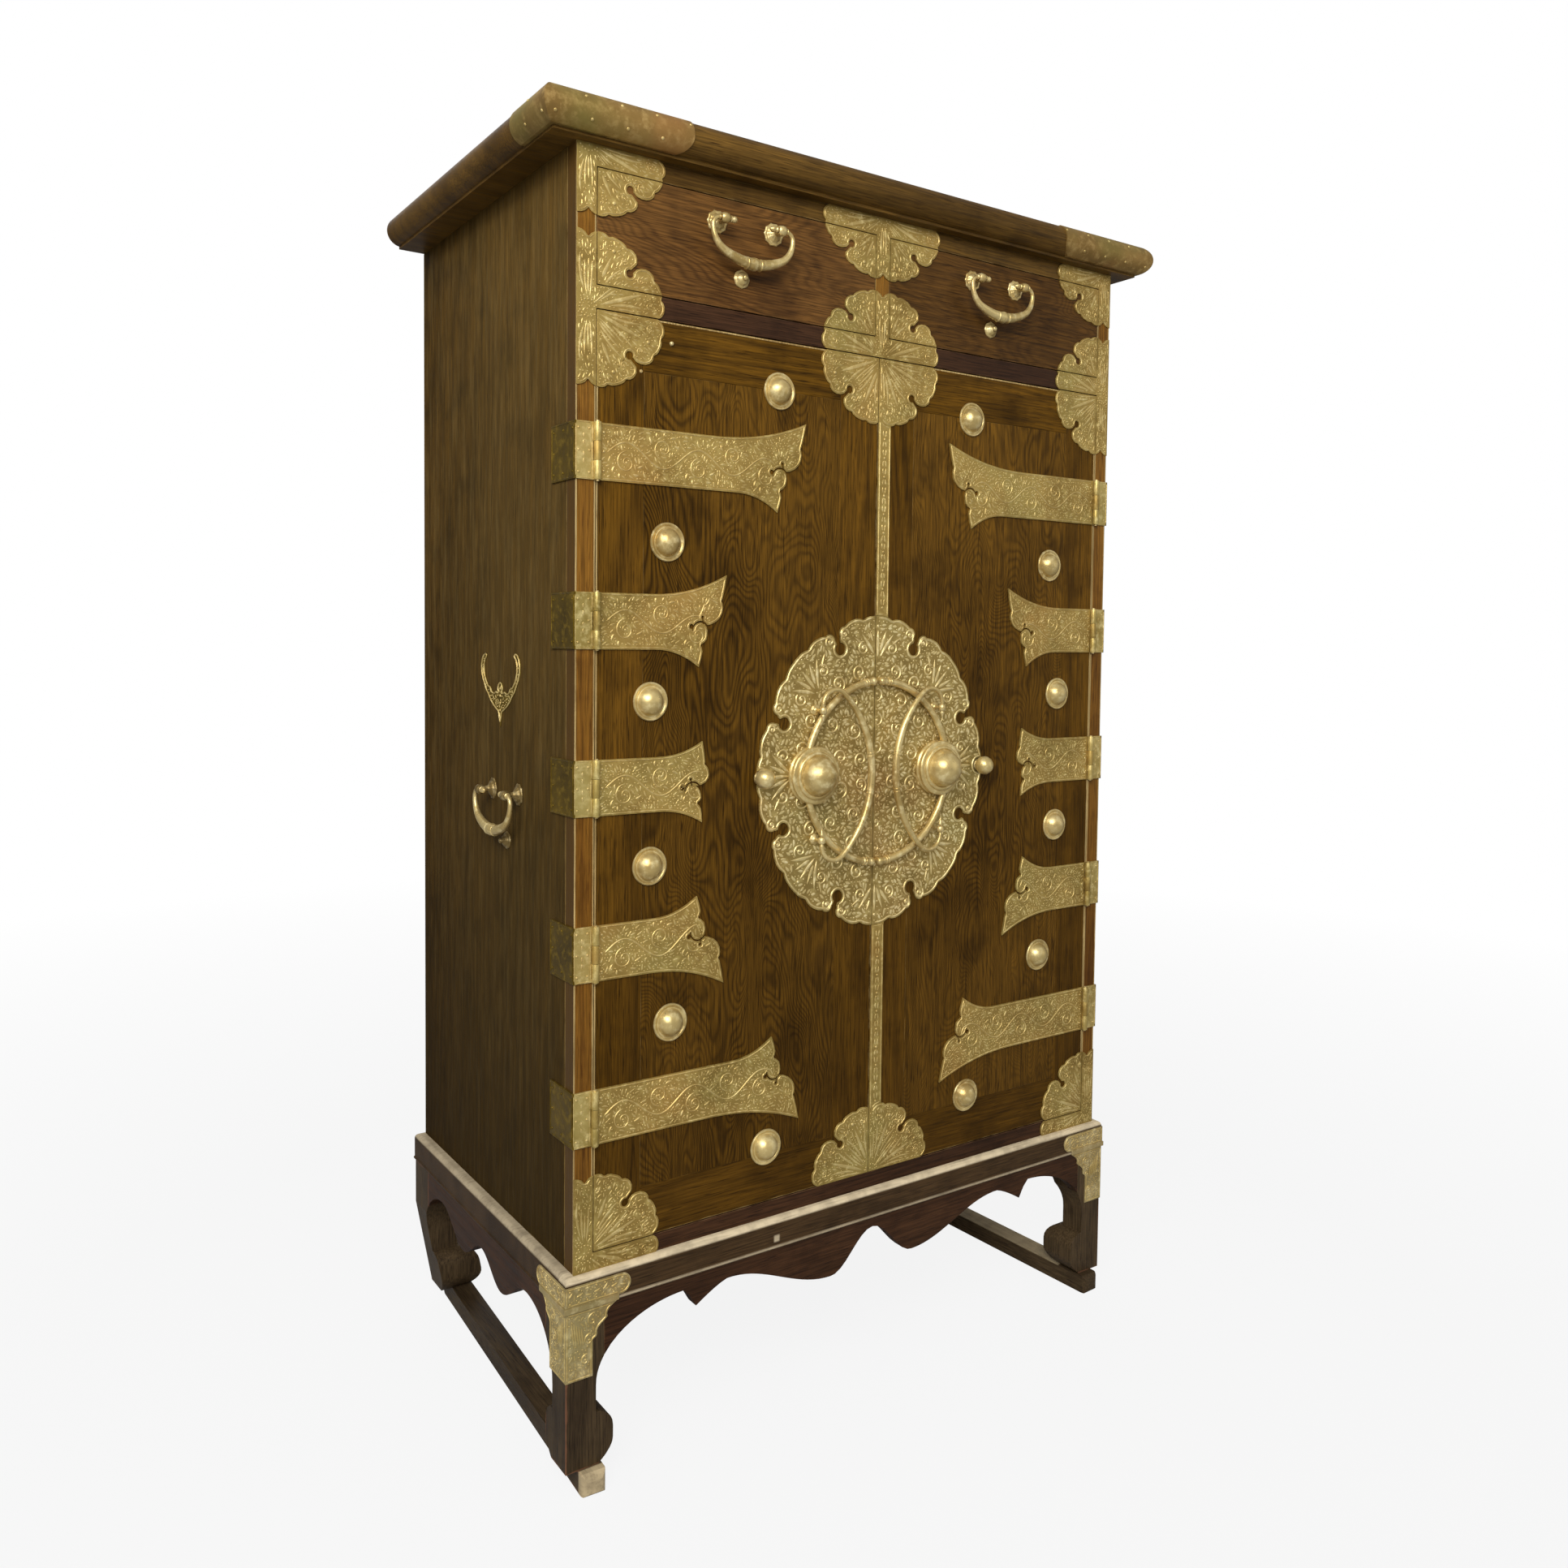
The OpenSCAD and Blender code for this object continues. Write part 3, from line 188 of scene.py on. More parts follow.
# Wood with ring lines, fibres, pores, slow colour changes and worn edges. along is the grain axis,
# crossed a list of boxes in which the grain turns to X, bareBoxes a list of (low, high, share) worn bare
def woodFinish(name, kind, along, box=None, crossed=(), bareBoxes=(), shift=0.0):
    look = lookOf(woodKeys, woods[kind], woodExtras.get(kind, {}))
    noise, between = woodNoise, woodRange
    material, tree, shader = startFinish(name)
    place = put(tree, "TexCoord").outputs["Object"]
    axes = put(tree, "SeparateXYZ", {0: place}).outputs[:]
    order = {"Z": (0, 1, 2), "X": (2, 1, 0), "Y": (0, 2, 1)}[along]
    grain = put(tree, "CombineXYZ", {i: axes[order[i]] for i in range(3)}).outputs[0]
    for low, high in crossed:
        inside = insideBox(tree, axes, low, high, 0.0)
        turned = put(tree, "CombineXYZ", {i: axes[2 - i] for i in range(3)}).outputs[0]
        grain = put(tree, "Mix", {0: inside, 4: grain, 5: turned}, data_type="VECTOR").outputs[1]

    def lay(base, mask, share, colour):
        return blendColour(tree, times(tree, mask, share), base, colour)

    offset = (shift, shift * 0.37, shift * 1.9)
    slow = put(tree, "Mapping", {0: grain, 1: offset, 3: (1, 1, look["stretch"])}).outputs[0]
    bend = put(tree, "TexNoise", {"Vector": slow, "Scale": noise["bend"], "Detail": 2.0}).outputs[1]
    warped = put(tree, "VectorMath", {0: bend, 1: (look["warp"],) * 3, 2: slow}, operation="MULTIPLY_ADD").outputs[0]
    field = speckle(tree, warped, look["ringScale"], 1.0, 0.4)
    ring = calc(tree, "SINE", times(tree, field, look["rings"] * 2 * pi))
    ring = calc(tree, "POWER", spread(tree, ring, -1.0, 1.0), 1.7)
    fibre = speckle(tree, grain, noise["fibre"], 3.0, 0.6, (1, 1, 0.03), offset)
    pore = spread(tree, speckle(tree, grain, noise["pore"], 1.0, 0.5, (1, 1, 0.045), offset), 0.60, 0.72)
    cloud = spread(tree, speckle(tree, grain, noise["cloud"], 4.0, 0.55, (1, 1, 0.5), offset), 0.32, 0.70)
    base = lay(look["mid"], ring, look["figure"], look["dark"])
    base = lay(base, cloud, 0.55, look["light"])
    blotch = spread(tree, speckle(tree, place, noise["blotch"], 3.0, 0.6), 0.5, 0.72)
    base = lay(base, blotch, 0.5, look["dark"])
    tone = spread(tree, fibre, 0.32, 0.68, 0.55, 1.35)
    base = blendColour(tree, 1.0, base, put(tree, "CombineColor", {0: tone, 1: tone, 2: tone}).outputs[0], "MULTIPLY")
    base = lay(base, pore, 0.8, look["dark"])
    rough = spread(tree, fibre, 0.3, 0.7, look["gloss"] - 0.05, look["gloss"] + 0.12)
    if "footShade" in look:
        # painted shade: the board darkens towards the foot
        lower = spread(tree, axes[2], between["foot"], between["head"], look["footShade"], 0.0)
        base = blendColour(tree, lower, base, look["dark"])
    if "scuff" in look:               # pale rubbed streaks, thicker towards the front and higher up
        rubbed = speckle(tree, place, noise["rub"], 4.0, 0.72, (1, 1, 0.09), offset)
        nearFront = spread(tree, axes[1], between["scuffFront"], between["scuffBack"], 1.0, 0.0)
        rubbed = calc(tree, "ADD", spread(tree, rubbed, 0.46, 0.74), times(tree, nearFront, 0.45))
        share = spread(tree, axes[2], between["foot"], between["scuffHead"], look["scuff"] * 0.3, look["scuff"])
        base = lay(base, rubbed, share, look["worn"])
    # painted shade: faces that look sideways get a darker tone
    if "sideShade" in look:
        normal = put(tree, "SeparateXYZ", {0: put(tree, "NewGeometry").outputs["Normal"]}).outputs[0]
        base = lay(base, calc(tree, "GREATER_THAN", calc(tree, "ABSOLUTE", normal), 0.8), 0.85, look["sideShade"])
    if box is not None:               # edges rubbed to a varying width
        patch = spread(tree, speckle(tree, place, noise["edge"], 3.0, 0.6), 0.35, 0.7, 0.25, 1.5)
        width = times(tree, patch, look["wear"] / 1000)
        wearing = put(tree, "MapRange", {0: edgeDistance(tree, axes, box), 1: 0.0, 2: width, 3: 1.0, 4: 0.0}).outputs[0]
        wearing = times(tree, wearing, 0.75)
        base = blendColour(tree, wearing, base, look["worn"])
        rough = calc(tree, "MULTIPLY_ADD", wearing, 0.18, rough)
    for low, high, share in bareBoxes:
        inside = times(tree, insideBox(tree, axes, low, high, between["bareSoft"]), share)
        patch = spread(tree, speckle(tree, place, noise["bare"], 3.0, 0.6), 0.36, 0.56, 0.74, 1.0)
        streak = spread(tree, speckle(tree, grain, noise["streak"], 2.0, 0.6, (1, 1, 0.06)), 0.3, 0.5, 0.72, 1.0)
        base = lay(base, times(tree, inside, patch), streak, look["bare"])
    height = calc(tree, "MULTIPLY_ADD", pore, -0.6, calc(tree, "MULTIPLY_ADD", ring, -0.25, fibre))
    finishSurface(tree, shader, base, rough, height, 0.35, 0.0005, look.get("shine", 0.10))
    return material


def finishSurface(tree, shader, base, rough, height, strength, depth, shine):
    bump = put(tree, "Bump", {"Strength": strength, "Distance": depth, "Height": height})
    tree.links.new(base, shader.inputs["Base Color"])
    tree.links.new(rough, shader.inputs["Roughness"])
    tree.links.new(bump.outputs[0], shader.inputs["Normal"])
    shader.inputs["Specular IOR Level"].default_value = shine


# Brass tones: ground for sheets, chased and raised for their relief, leaf for the hinge leaves, shade for painted shade
# on brass that lies on the carcass sides, wrap and dusty for the corners of top and stand, dull and cast for turned
# pieces
brassKeys = ("deep", "main", "pale", "green", "copper", "patch", "grain", "rough", "metal")
brasses = {
    "ground": ((141, 115, 58), (177, 148, 81), (192, 168, 100), (158, 146, 82), (188, 140, 72), 0.40, 0.32, 0.50, 0.60),
    "medal": ((134, 112, 60), (170, 144, 82), (198, 175, 110), (148, 142, 88), (172, 128, 74), 0.45, 0.35, 0.50, 0.60),
    "chased": ((172, 145, 84), (202, 176, 112), (226, 206, 146), (188, 178, 120), (208, 164, 98), 0.3, 0.1, 0.46, 0.50),
    "raised": ((188, 164, 104), (222, 200, 140), (244, 228, 176), (204, 200, 146), (214, 168, 110), 0.35, 0.1, 0.42,
               0.50),
    "leaf": ((156, 132, 68), (196, 172, 104), (224, 204, 140), (172, 164, 98), (200, 166, 96), 0.25, 0.2, 0.42, 0.60),
    "shade": ((80, 62, 8), (106, 84, 16), (142, 116, 42), (88, 80, 24), (98, 74, 28), 0.4, 0.3, 0.55, 0.65),
    "wrap": ((128, 100, 52), (160, 128, 72), (182, 152, 94), (140, 126, 66), (164, 116, 64), 0.75, 0.32, 0.52, 0.60),
    "dusty": ((146, 126, 80), (184, 162, 112), (204, 186, 138), (166, 158, 108), (184, 148, 98), 0.4, 0.32, 0.52, 0.5),
    "dull": ((104, 84, 44), (142, 120, 74), (196, 176, 128), (120, 108, 62), (138, 106, 62), 0.3, 0.2, 0.42, 0.62),
    "cast": ((176, 148, 88), (217, 193, 131), (238, 220, 164), (188, 176, 118), (206, 168, 106), 0.2, 0.1, 0.34, 0.66),
}
brassNoise = dict(cloud=14.0, spot=95.0, fine=900.0, green=7.0, copper=6.5, dirt=240.0, punch=520.0)


def brassFinish(name, kind, shadeKind=None):
    look = lookOf(brassKeys, brasses[kind], {})
    noise = brassNoise
    material, tree, shader = startFinish(name)
    place = put(tree, "TexCoord").outputs["Object"]
    cloud = speckle(tree, place, noise["cloud"], 4.0, 0.6)
    spots = speckle(tree, place, noise["spot"], 3.0, 0.65)
    fine = speckle(tree, place, noise["fine"], 2.0, 0.6)
    base = blendColour(tree, spread(tree, cloud, 0.34, 0.64), look["deep"], look["main"])
    base = blendColour(tree, spread(tree, spots, 0.48, 0.72), base, look["pale"])
    for tone, low, shift, share in (("green", 0.50, (3.1, 0.4, 7.7), 1.0), ("copper", 0.56, (9.3, 2.4, 1.7), 1.1)):
        patch = spread(tree, speckle(tree, place, noise[tone], 3.0, 0.6, (1, 1, 1), shift), low, low + 0.18)
        base = blendColour(tree, times(tree, patch, look["patch"] * share), base, look[tone])
    dirt = spread(tree, speckle(tree, place, noise["dirt"], 4.0, 0.7), 0.54, 0.74)
    base = blendColour(tree, times(tree, dirt, look["grain"]), base, look["deep"])
    # painted shade: where the sheet lies on the carcass side, the darker shade tone is blended in
    if shadeKind:                      # another tone where the sheet lies on the carcass side
        other = lookOf(brassKeys, brasses[shadeKind], {})
        across = calc(tree, "ABSOLUTE", put(tree, "SeparateXYZ", {0: place}).outputs[0])
        onSide = calc(tree, "GREATER_THAN", across, (halfWidth + 0.1) / 1000)
        shadedTone = blendColour(tree, spread(tree, cloud, 0.36, 0.62), other["main"], other["deep"])
        shadedTone = blendColour(tree, spread(tree, spots, 0.5, 0.75), shadedTone, other["pale"])
        base = blendColour(tree, onSide, base, shadedTone)
    rough = spread(tree, spots, 0.3, 0.7, look["rough"] - 0.07, look["rough"] + 0.12)
    punch = put(tree, "TexVoronoi", {"Vector": place, "Scale": noise["punch"]}).outputs[0]
    height = calc(tree, "MULTIPLY_ADD", punch, look["grain"], times(tree, fine, 0.5))
    finishSurface(tree, shader, base, rough, height, 0.3, 0.0004, 0.2)
    shader.inputs["Metallic"].default_value = look["metal"]
    return material


brassGround = brassFinish("brassGround", "ground")
brassChased = brassFinish("brassChased", "chased")
brassLeaf = brassFinish("brassLeaf", "leaf", "shade")
brassCast = brassFinish("brassCast", "cast")
brassMedal = brassFinish("brassMedal", "medal")
brassRaised = brassFinish("brassRaised", "raised")
brassWrap = brassFinish("brassWrap", "wrap")
brassDusty = brassFinish("brassDusty", "dusty")
brassDull = brassFinish("brassDull", "dull")
# painted shade: the shade tone for the winged ornaments on the carcass sides
brassSideShade = brassFinish("brassSideShade", "shade")
print("finishes ready")


# Carried-over CAD pieces: finish, and edges softened by a small bevel
def dress(name, finish, bevel=0.0, segments=2, angle=35):
    piece = parts[name]
    for holder in piece.material_slots:
        holder.material = finish
    if not piece.material_slots:
        piece.data.materials.append(finish)
    if bevel:
        weld = piece.modifiers.new("weld", "WELD")
        weld.merge_threshold = 0.000005
        edge = piece.modifiers.new("edge", "BEVEL")
        edge.width = bevel / 1000
        edge.segments = segments
        edge.limit_method = "ANGLE"
        edge.angle_limit = radians(angle)


def board(name, kind, along, bevel, shift, crossed=(), bareBoxes=()):
    dress(name, woodFinish(name + "Wood", kind, along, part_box(name), crossed, bareBoxes, shift), bevel)


# Plain boards: wood, grain axis, softened edge in millimetres, and a shift that gives each its own figure
for row in (("side_panel_left", "carcass", "Z", 1.0, 0.3), ("side_panel_right", "carcass", "Z", 1.0, 2.3),
            ("back_panel", "carcass", "Z", 0.8, 4.1), ("bottom_board", "inner", "X", 0.6, 5.2),
            ("dust_board", "inner", "X", 0.6, 6.6), ("shelf", "inner", "X", 1.0, 7.9),
            ("top_board", "top", "X", 0.0, 1.7),
            ("front_stile_left", "edge", "Z", 0.8, 3.0), ("front_stile_right", "edge", "Z", 0.8, 8.0),
            ("door_panel_left", "burl", "Z", 0.5, 2.9), ("door_panel_right", "burl", "Z", 0.5, 9.4),
            ("drawer_front_left", "drawer", "X", 0.8, 3.3), ("drawer_front_right", "drawerDark", "X", 0.8, 6.1),
            ("drawer_box_left", "inner", "Y", 0.5, 2.0), ("drawer_box_right", "inner", "Y", 0.5, 4.4),
            ("top_rail", "top", "X", 0.6, 4.0), ("middle_rail", "dark", "X", 0.8, 5.0),
            ("bottom_rail", "dark", "X", 0.6, 6.0), ("drawer_mullion", "edge", "Z", 0.6, 7.0),
            ("drawer_guides", "inner", "Y", 0.5, 8.0), ("long_aprons", "dark", "X", 0.9, 1.5),
            ("side_aprons", "dark", "Y", 0.9, 2.5), ("front_legs", "stand", "Z", 1.2, 3.5),
            ("back_legs", "stand", "Z", 1.2, 4.5)):
    board(*row)
railHigh = 0.060                      # the door frames' rails, where the grain turns
for side, shift in (("left", 1.1), ("right", 5.7)):
    low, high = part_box("door_frame_" + side)
    rails = [((low.x + railHigh, None, a), (high.x - railHigh, None, a + railHigh)) for a in (low.z, high.z - railHigh)]
    board("door_frame_" + side, "door", "Z", 0.8, shift, rails)

# Bare wood on the stand: its top arris, the line over the bead, a chip in front, and the runners
arris = dict(front=0.0058, side=0.0050, sideShare=0.6, beadLow=0.0016, beadHigh=0.0040, beadShare=0.62)
chip = dict(left=-0.159, right=-0.151, low=0.029, high=0.021, share=0.7)
reach = 0.01
low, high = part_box("stand_frame")
nearY = low.y - reach
board("stand_frame", "frieze", "X", 0.0, 9.0,
      bareBoxes=[((None, nearY, high.z - arris["front"]), (None, low.y + 0.02, high.z + reach), 1.0),
                 ((None, nearY, low.z + arris["beadLow"]), (None, low.y + 0.02, low.z + arris["beadHigh"]),
                  arris["beadShare"]),
                 ((chip["left"], nearY, high.z - chip["low"]), (chip["right"], low.y + reach, high.z - chip["high"]),
                  chip["share"]),
                 ((None, low.y + 0.02, high.z - arris["side"]), (None, high.y + reach, high.z + reach),
                  arris["sideShare"])])
low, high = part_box("runners")
board("runners", "stand", "Y", 1.0, 5.5,
      bareBoxes=[((-1, low.y - reach, None), (0, low.y + 0.014, None), 0.85),
                 ((0, low.y + 0.05, high.z - 0.0006), (1, high.y, high.z + reach), 0.8)])
for side in ("left", "right"):
    dress("door_plates_" + side, brassGround, 0.45)
    dress("drawer_plates_" + side, brassGround, 0.45)
    dress("medallion_" + side, brassMedal, 0.45)
    dress("door_straps_" + side, brassGround, 0.4, 2, 50)
for row in (("door_edge_strip", brassGround, 0.45), ("frame_plates", brassGround, 0.45),
            ("top_corner_brass", brassWrap), ("stand_corner_brass", brassDusty, 0.3),
            ("hinge_frame_leaves", brassLeaf, 0.4, 2, 50),
            ("hinge_pins", brassCast), ("side_bats", brassSideShade, 0.3)):
    dress(*row)
print("CAD pieces dressed")


# Mesh kit: shapes are gathered as points and faces, then made into one piece
def newShape():
    return {"points": [], "faces": []}


def extend(shape, points, faces):
    base = len(shape["points"])
    shape["points"].extend(points)
    shape["faces"].extend([[i + base for i in face] for face in faces])


def makePiece(shape, name, finish, body, instead=(), sharp=40):
    mesh = bpy.data.meshes.new(name)
    mesh.from_pydata([tuple(p) for p in shape["points"]], [], shape["faces"])
    mesh.validate()
    mesh.update()
    mesh.polygons.foreach_set("use_smooth", [True] * len(mesh.polygons))
    mesh.set_sharp_from_angle(angle=radians(sharp))
    mesh.materials.append(finish)
    piece = bpy.data.objects.new(name, mesh)
    bpy.context.scene.collection.objects.link(piece)
    if instead:
        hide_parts(*instead)
    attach(piece, body)


def fitting(shape, name, body, instead, sharp=50, finish=brassCast):
    makePiece(shape, name, finish, body, [instead], sharp)


def crossAxes(axis):
    helper = Vector((0, 0, 1)) if abs(axis.z) < 0.9 else Vector((1, 0, 0))
    across = axis.cross(helper).normalized()
    return across, across.cross(axis)


# Joins rows of points round a rod and closes both ends
def closeTube(shape, points, rows, sides):
    faces = [[i * sides + k, i * sides + (k + 1) % sides, (i + 1) * sides + (k + 1) % sides, (i + 1) * sides + k]
             for i in range(rows - 1) for k in range(sides)]
    faces.append(list(range(sides - 1, -1, -1)))
    faces.append([(rows - 1) * sides + k for k in range(sides)])
    extend(shape, points, faces)


# Turned shape: profile of (radius, height) round an axis, closed at both ends
def turned(shape, profile, centre, axis, sides, petals=0, petalDepth=0.0, squash=(1.0, 1.0)):
    axis = Vector(axis).normalized()
    across, up = crossAxes(axis)
    points = []
    for radius, height in profile:
        for k in range(sides):
            a = 2 * pi * k / sides
            r = radius * (1 - petalDepth * abs(sin(petals * a / 2)) if petals else 1)
            flat = across * (cos(a) * squash[0]) + up * (sin(a) * squash[1])
            points.append(Vector(centre) + (flat * r + axis * height) / 1000)
    closeTube(shape, points, len(profile), sides)


# Ring-shaped turning, closed on itself
def turnedRing(shape, profile, centre, axis, sides):
    axis = Vector(axis).normalized()
    across, up = crossAxes(axis)
    rows = len(profile)
    angles = [2 * pi * k / sides for k in range(sides)]
    points = [Vector(centre) + ((across * cos(a) + up * sin(a)) * r + axis * h) / 1000
              for r, h in profile for a in angles]
    faces = [[i * sides + k, i * sides + (k + 1) % sides, ((i + 1) % rows) * sides + (k + 1) % sides,
              ((i + 1) % rows) * sides + k] for i in range(rows) for k in range(sides)]
    extend(shape, points, faces)


# Bent rod: a round section carried along points in metres, with a radius in millimetres at each
def bentRod(shape, path, radii, sides):
    path = [Vector(p) for p in path]
    count = len(path)
    side = None
    points = []
    for i, p in enumerate(path):
        ahead = (path[min(i + 1, count - 1)] - path[max(i - 1, 0)]).normalized()
        if side is None:
            helper = Vector((0, 1, 0)) if abs(ahead.y) < 0.9 else Vector((1, 0, 0))
            side = ahead.cross(helper).normalized()
        side = (side - ahead * side.dot(ahead)).normalized()
        other = ahead.cross(side)
        for k in range(sides):
            a = 2 * pi * k / sides
            points.append(p + (side * cos(a) + other * sin(a)) * radii[i] / 1000)
    closeTube(shape, points, count, sides)


def domeProfile(radius, height, steps, foot):
    curve = (radius * radius + height * height) / (2 * height)
    span = math.asin(min(1.0, radius / curve)) if height <= radius else pi - math.asin(radius / curve)
    return [(max(0.15, curve * sin(span * (1 - i / steps))),
             foot + curve * cos(span * (1 - i / steps)) - (curve - height)) for i in range(steps + 1)]


# Bosses: flat disc with a rolled rim, groove, and a high dome
boss = dict(rim=22.5, dome=16.6, height=14.4, sides=40,
            at=[(159, 469), (314, 279), (335, 96), (335, -94), (306, -281), (168, -460)])
ballStud = dict(x=182, radius=12.5, sides=32)


def bossProfile():
    rim, dome = boss["rim"], boss["dome"]
    edge = [(rim - 0.3, 0.0), (rim + 0.1, 0.7), (rim, 1.7), (rim - 0.7, 2.6), (rim - 1.7, 2.8), (rim - 2.7, 2.4),
            (rim - 3.4, 1.6), (rim - 4.2, 1.2), (dome + 1.0, 1.2), (dome + 0.2, 1.5)]
    return edge + domeProfile(dome, boss["height"] - 1.6, 10, 1.6)


def ballProfile():
    r = ballStud["radius"]
    foot = [(8.3, 0.0), (8.4, 2.4), (7.6, 3.2), (6.0, 3.6), (5.6, 4.2)]
    middle = plateLevel + 0.9 * r
    start = math.asin(5.4 / r)
    ball = [(max(0.15, r * sin(start + (pi - start) * i / 12)),
             middle - r * cos(start + (pi - start) * i / 12)) for i in range(1, 13)]
    return foot + [p for p in ball if p[1] > 4.4]


for side, sign in hands:
    shape = newShape()
    for x, up in boss["at"]:
        turned(shape, bossProfile(), onFront(sign * x, doorMid + up, 0), (0, -1, 0), boss["sides"])
    turned(shape, ballProfile(), onFront(sign * ballStud["x"], doorMid, 0), (0, -1, 0), ballStud["sides"])
    fitting(shape, "boss_domes_" + side, "door_" + side, "door_studs_" + side, 40)

# Dome knobs: drum with a rolled lip, a groove, a second step and a ball
knob = dict(x=104, sides=56)
knobProfile = [(36.2, 0.0), (36.6, 1.2), (36.0, 2.6), (34.6, 3.4), (34.2, 4.6), (34.4, 6.2), (35.6, 7.2), (36.4, 8.6),
               (36.2, 10.2), (35.0, 11.4), (33.0, 11.8), (31.2, 11.4), (30.4, 11.7), (30.2, 13.0), (29.4, 14.4),
               (27.8, 15.2), (26.2, 15.0), (25.0, 14.0)]
ballRound = dict(radius=24.4, middle=14.4, steps=14)
for i in range(1, ballRound["steps"] + 1):
    a = (pi / 2 - 0.02) * (1 - i / ballRound["steps"])
    knobProfile.append((max(0.2, ballRound["radius"] * sin(a)),
                        ballRound["middle"] + ballRound["radius"] * cos(a)))
for side, sign in hands:
    shape = newShape()
    turned(shape, knobProfile, onFront(sign * knob["x"], doorMid, plateLevel), (0, -1, 0), knob["sides"])
    fitting(shape, "dome_" + side, "door_" + side, "dome_knob_" + side)
print("bosses and domes")


# Half rings: round rod with a bead on a foot at each seam end, and two collars near it
halfRing = dict(radius=117, rod=4.5, bead=5.7, seamGap=2, steps=84, collars=(0.085, 0.115), sides=20)
ringBead = [(3.0, -4.6), (4.8, -2.8), (5.6, -0.8), (5.6, 0.8), (4.8, 2.8), (3.0, 4.6)]
ringFoot = [(4.4, -halfRing["bead"] - 0.2), (4.6, 0.8 - halfRing["bead"]), (3.6, -1.0), (3.4, 0.0)]
ringCollar = [(4.4, -1.3), (5.3, -0.9), (5.6, 0.0), (5.3, 0.9), (4.4, 1.3)]
ringLevel = plateLevel + halfRing["bead"]
for side, sign in hands:
    near = seamX if side == "left" else -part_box("door_frame_right")[0].x * 1000
    start = math.acos((near - halfRing["rod"] - halfRing["seamGap"]) / halfRing["radius"])
    steps = halfRing["steps"]

    def ringPoint(a, sign=sign):
        return onFront(-sign * halfRing["radius"] * cos(a), doorMid + halfRing["radius"] * sin(a), ringLevel)

    shape = newShape()
    path = [ringPoint(start + (2 * pi - 2 * start) * i / steps) for i in range(steps + 1)]
    bentRod(shape, path, [halfRing["rod"]] * len(path), 18)
    for turn in (1, -1):
        end = start if turn > 0 else 2 * pi - start
        turned(shape, ringBead, ringPoint(end), (1, 0, 0), halfRing["sides"])
        turned(shape, ringFoot, ringPoint(end), (0, -1, 0), halfRing["sides"])
        for away in halfRing["collars"]:
            at = end + turn * away
            ahead = (ringPoint(at + 0.01) - ringPoint(at - 0.01)).normalized()
            turned(shape, ringCollar, ringPoint(at), ahead, halfRing["sides"])
    fitting(shape, "ring_rod_" + side, "door_" + side, "half_ring_" + side)

# Door bails: a long bow hooked at both ends, hanging on two eye posts
doorBail = dict(x=99, bow=137, reach=79, hook=20, rodMid=4.8, rodEnd=3.3, thinner=0.7, off=17.3, pin=1.9, eye=4.6,
                eyeDrop=6, collars=(-26, -22, 22, 26))
bailCollar = [(4.0, -1.2), (5.0, -0.7), (5.2, 0), (5.0, 0.7), (4.0, 1.2)]
bailFoot = [(7.6, 0), (7.6, 0.8), (6.8, 1.6), (5.0, 2.2), (3.4, 3.0), (2.6, 5.0), (2.4, 8.0), (2.8, 10.6)]
bailEye = [(2.1, -3.6), (3.3, -4.0), (4.4, -2.6), (4.8, 0), (4.4, 2.6), (3.3, 4.0), (2.1, 3.6)]
bailBud = [(0.6, doorBail["pin"]), (1.2, 2.6), (2.4, 2.7), (4.4, 2.0), (7.5, 1.2), (9.5, 0.3)]
bowBack = doorBail["hook"] + doorBail["bow"] - doorBail["reach"]
bailHigh = math.sqrt((doorBail["bow"] - doorBail["hook"]) ** 2 - bowBack ** 2)
bailTurn = math.atan2(bailHigh, bowBack)
eyeHigh = bailHigh - doorBail["eyeDrop"]


def bowPoint(a):                    # (x, z) on the bow at an angle from its middle
    return doorBail["reach"] - doorBail["bow"] + doorBail["bow"] * cos(a), doorBail["bow"] * sin(a)


def bailLine():                     # upper half, from the middle of the bow to the bud: (x, z, radius)
    hook, middle, end = doorBail["hook"], doorBail["rodMid"], doorBail["rodEnd"]
    line = [bowPoint(bailTurn * i / 24) + (middle + (end - middle) * (i / 24) ** 1.6,) for i in range(25)]
    for i in range(1, 15):
        a = bailTurn + (pi - bailTurn) * i / 14
        line.append((hook + hook * cos(a), bailHigh + hook * sin(a), end - doorBail["thinner"] * i / 14))
    line.append((0, bailHigh - 1.5, doorBail["pin"]))
    return line + [(0, eyeHigh - doorBail["eye"] - low, radius) for low, radius in bailBud]


upper = bailLine()
whole = [(x, -z, r) for x, z, r in upper[::-1]] + upper[1:]
for side, sign in hands:
    def bailPoint(x, z, sign=sign):
        return onFront(sign * (doorBail["x"] - x), doorMid + z, doorBail["off"])

    shape = newShape()
    bentRod(shape, [bailPoint(x, z) for x, z, r in whole], [r for x, z, r in whole], 14)
    for z in doorBail["collars"]:
        a = math.asin(z / doorBail["bow"])
        turned(shape, bailCollar, bailPoint(bowPoint(a)[0], z), (sign * sin(a), 0, cos(a)), 18)
    fitting(shape, "pull_bow_" + side, "door_pull_" + side, "door_bail_" + side)
    shape = newShape()
    for turn in (1, -1):
        x, z = sign * doorBail["x"], doorMid + turn * eyeHigh
        turned(shape, bailFoot, onFront(x, z, plateLevel), (0, -1, 0), 24, 8, 0.10)
        turnedRing(shape, bailEye, onFront(x, z, doorBail["off"]), (0, 0, 1), 22)
    fitting(shape, "pull_eyes_" + side, "door_" + side, "door_bail_posts_" + side)
print("rings and bows")

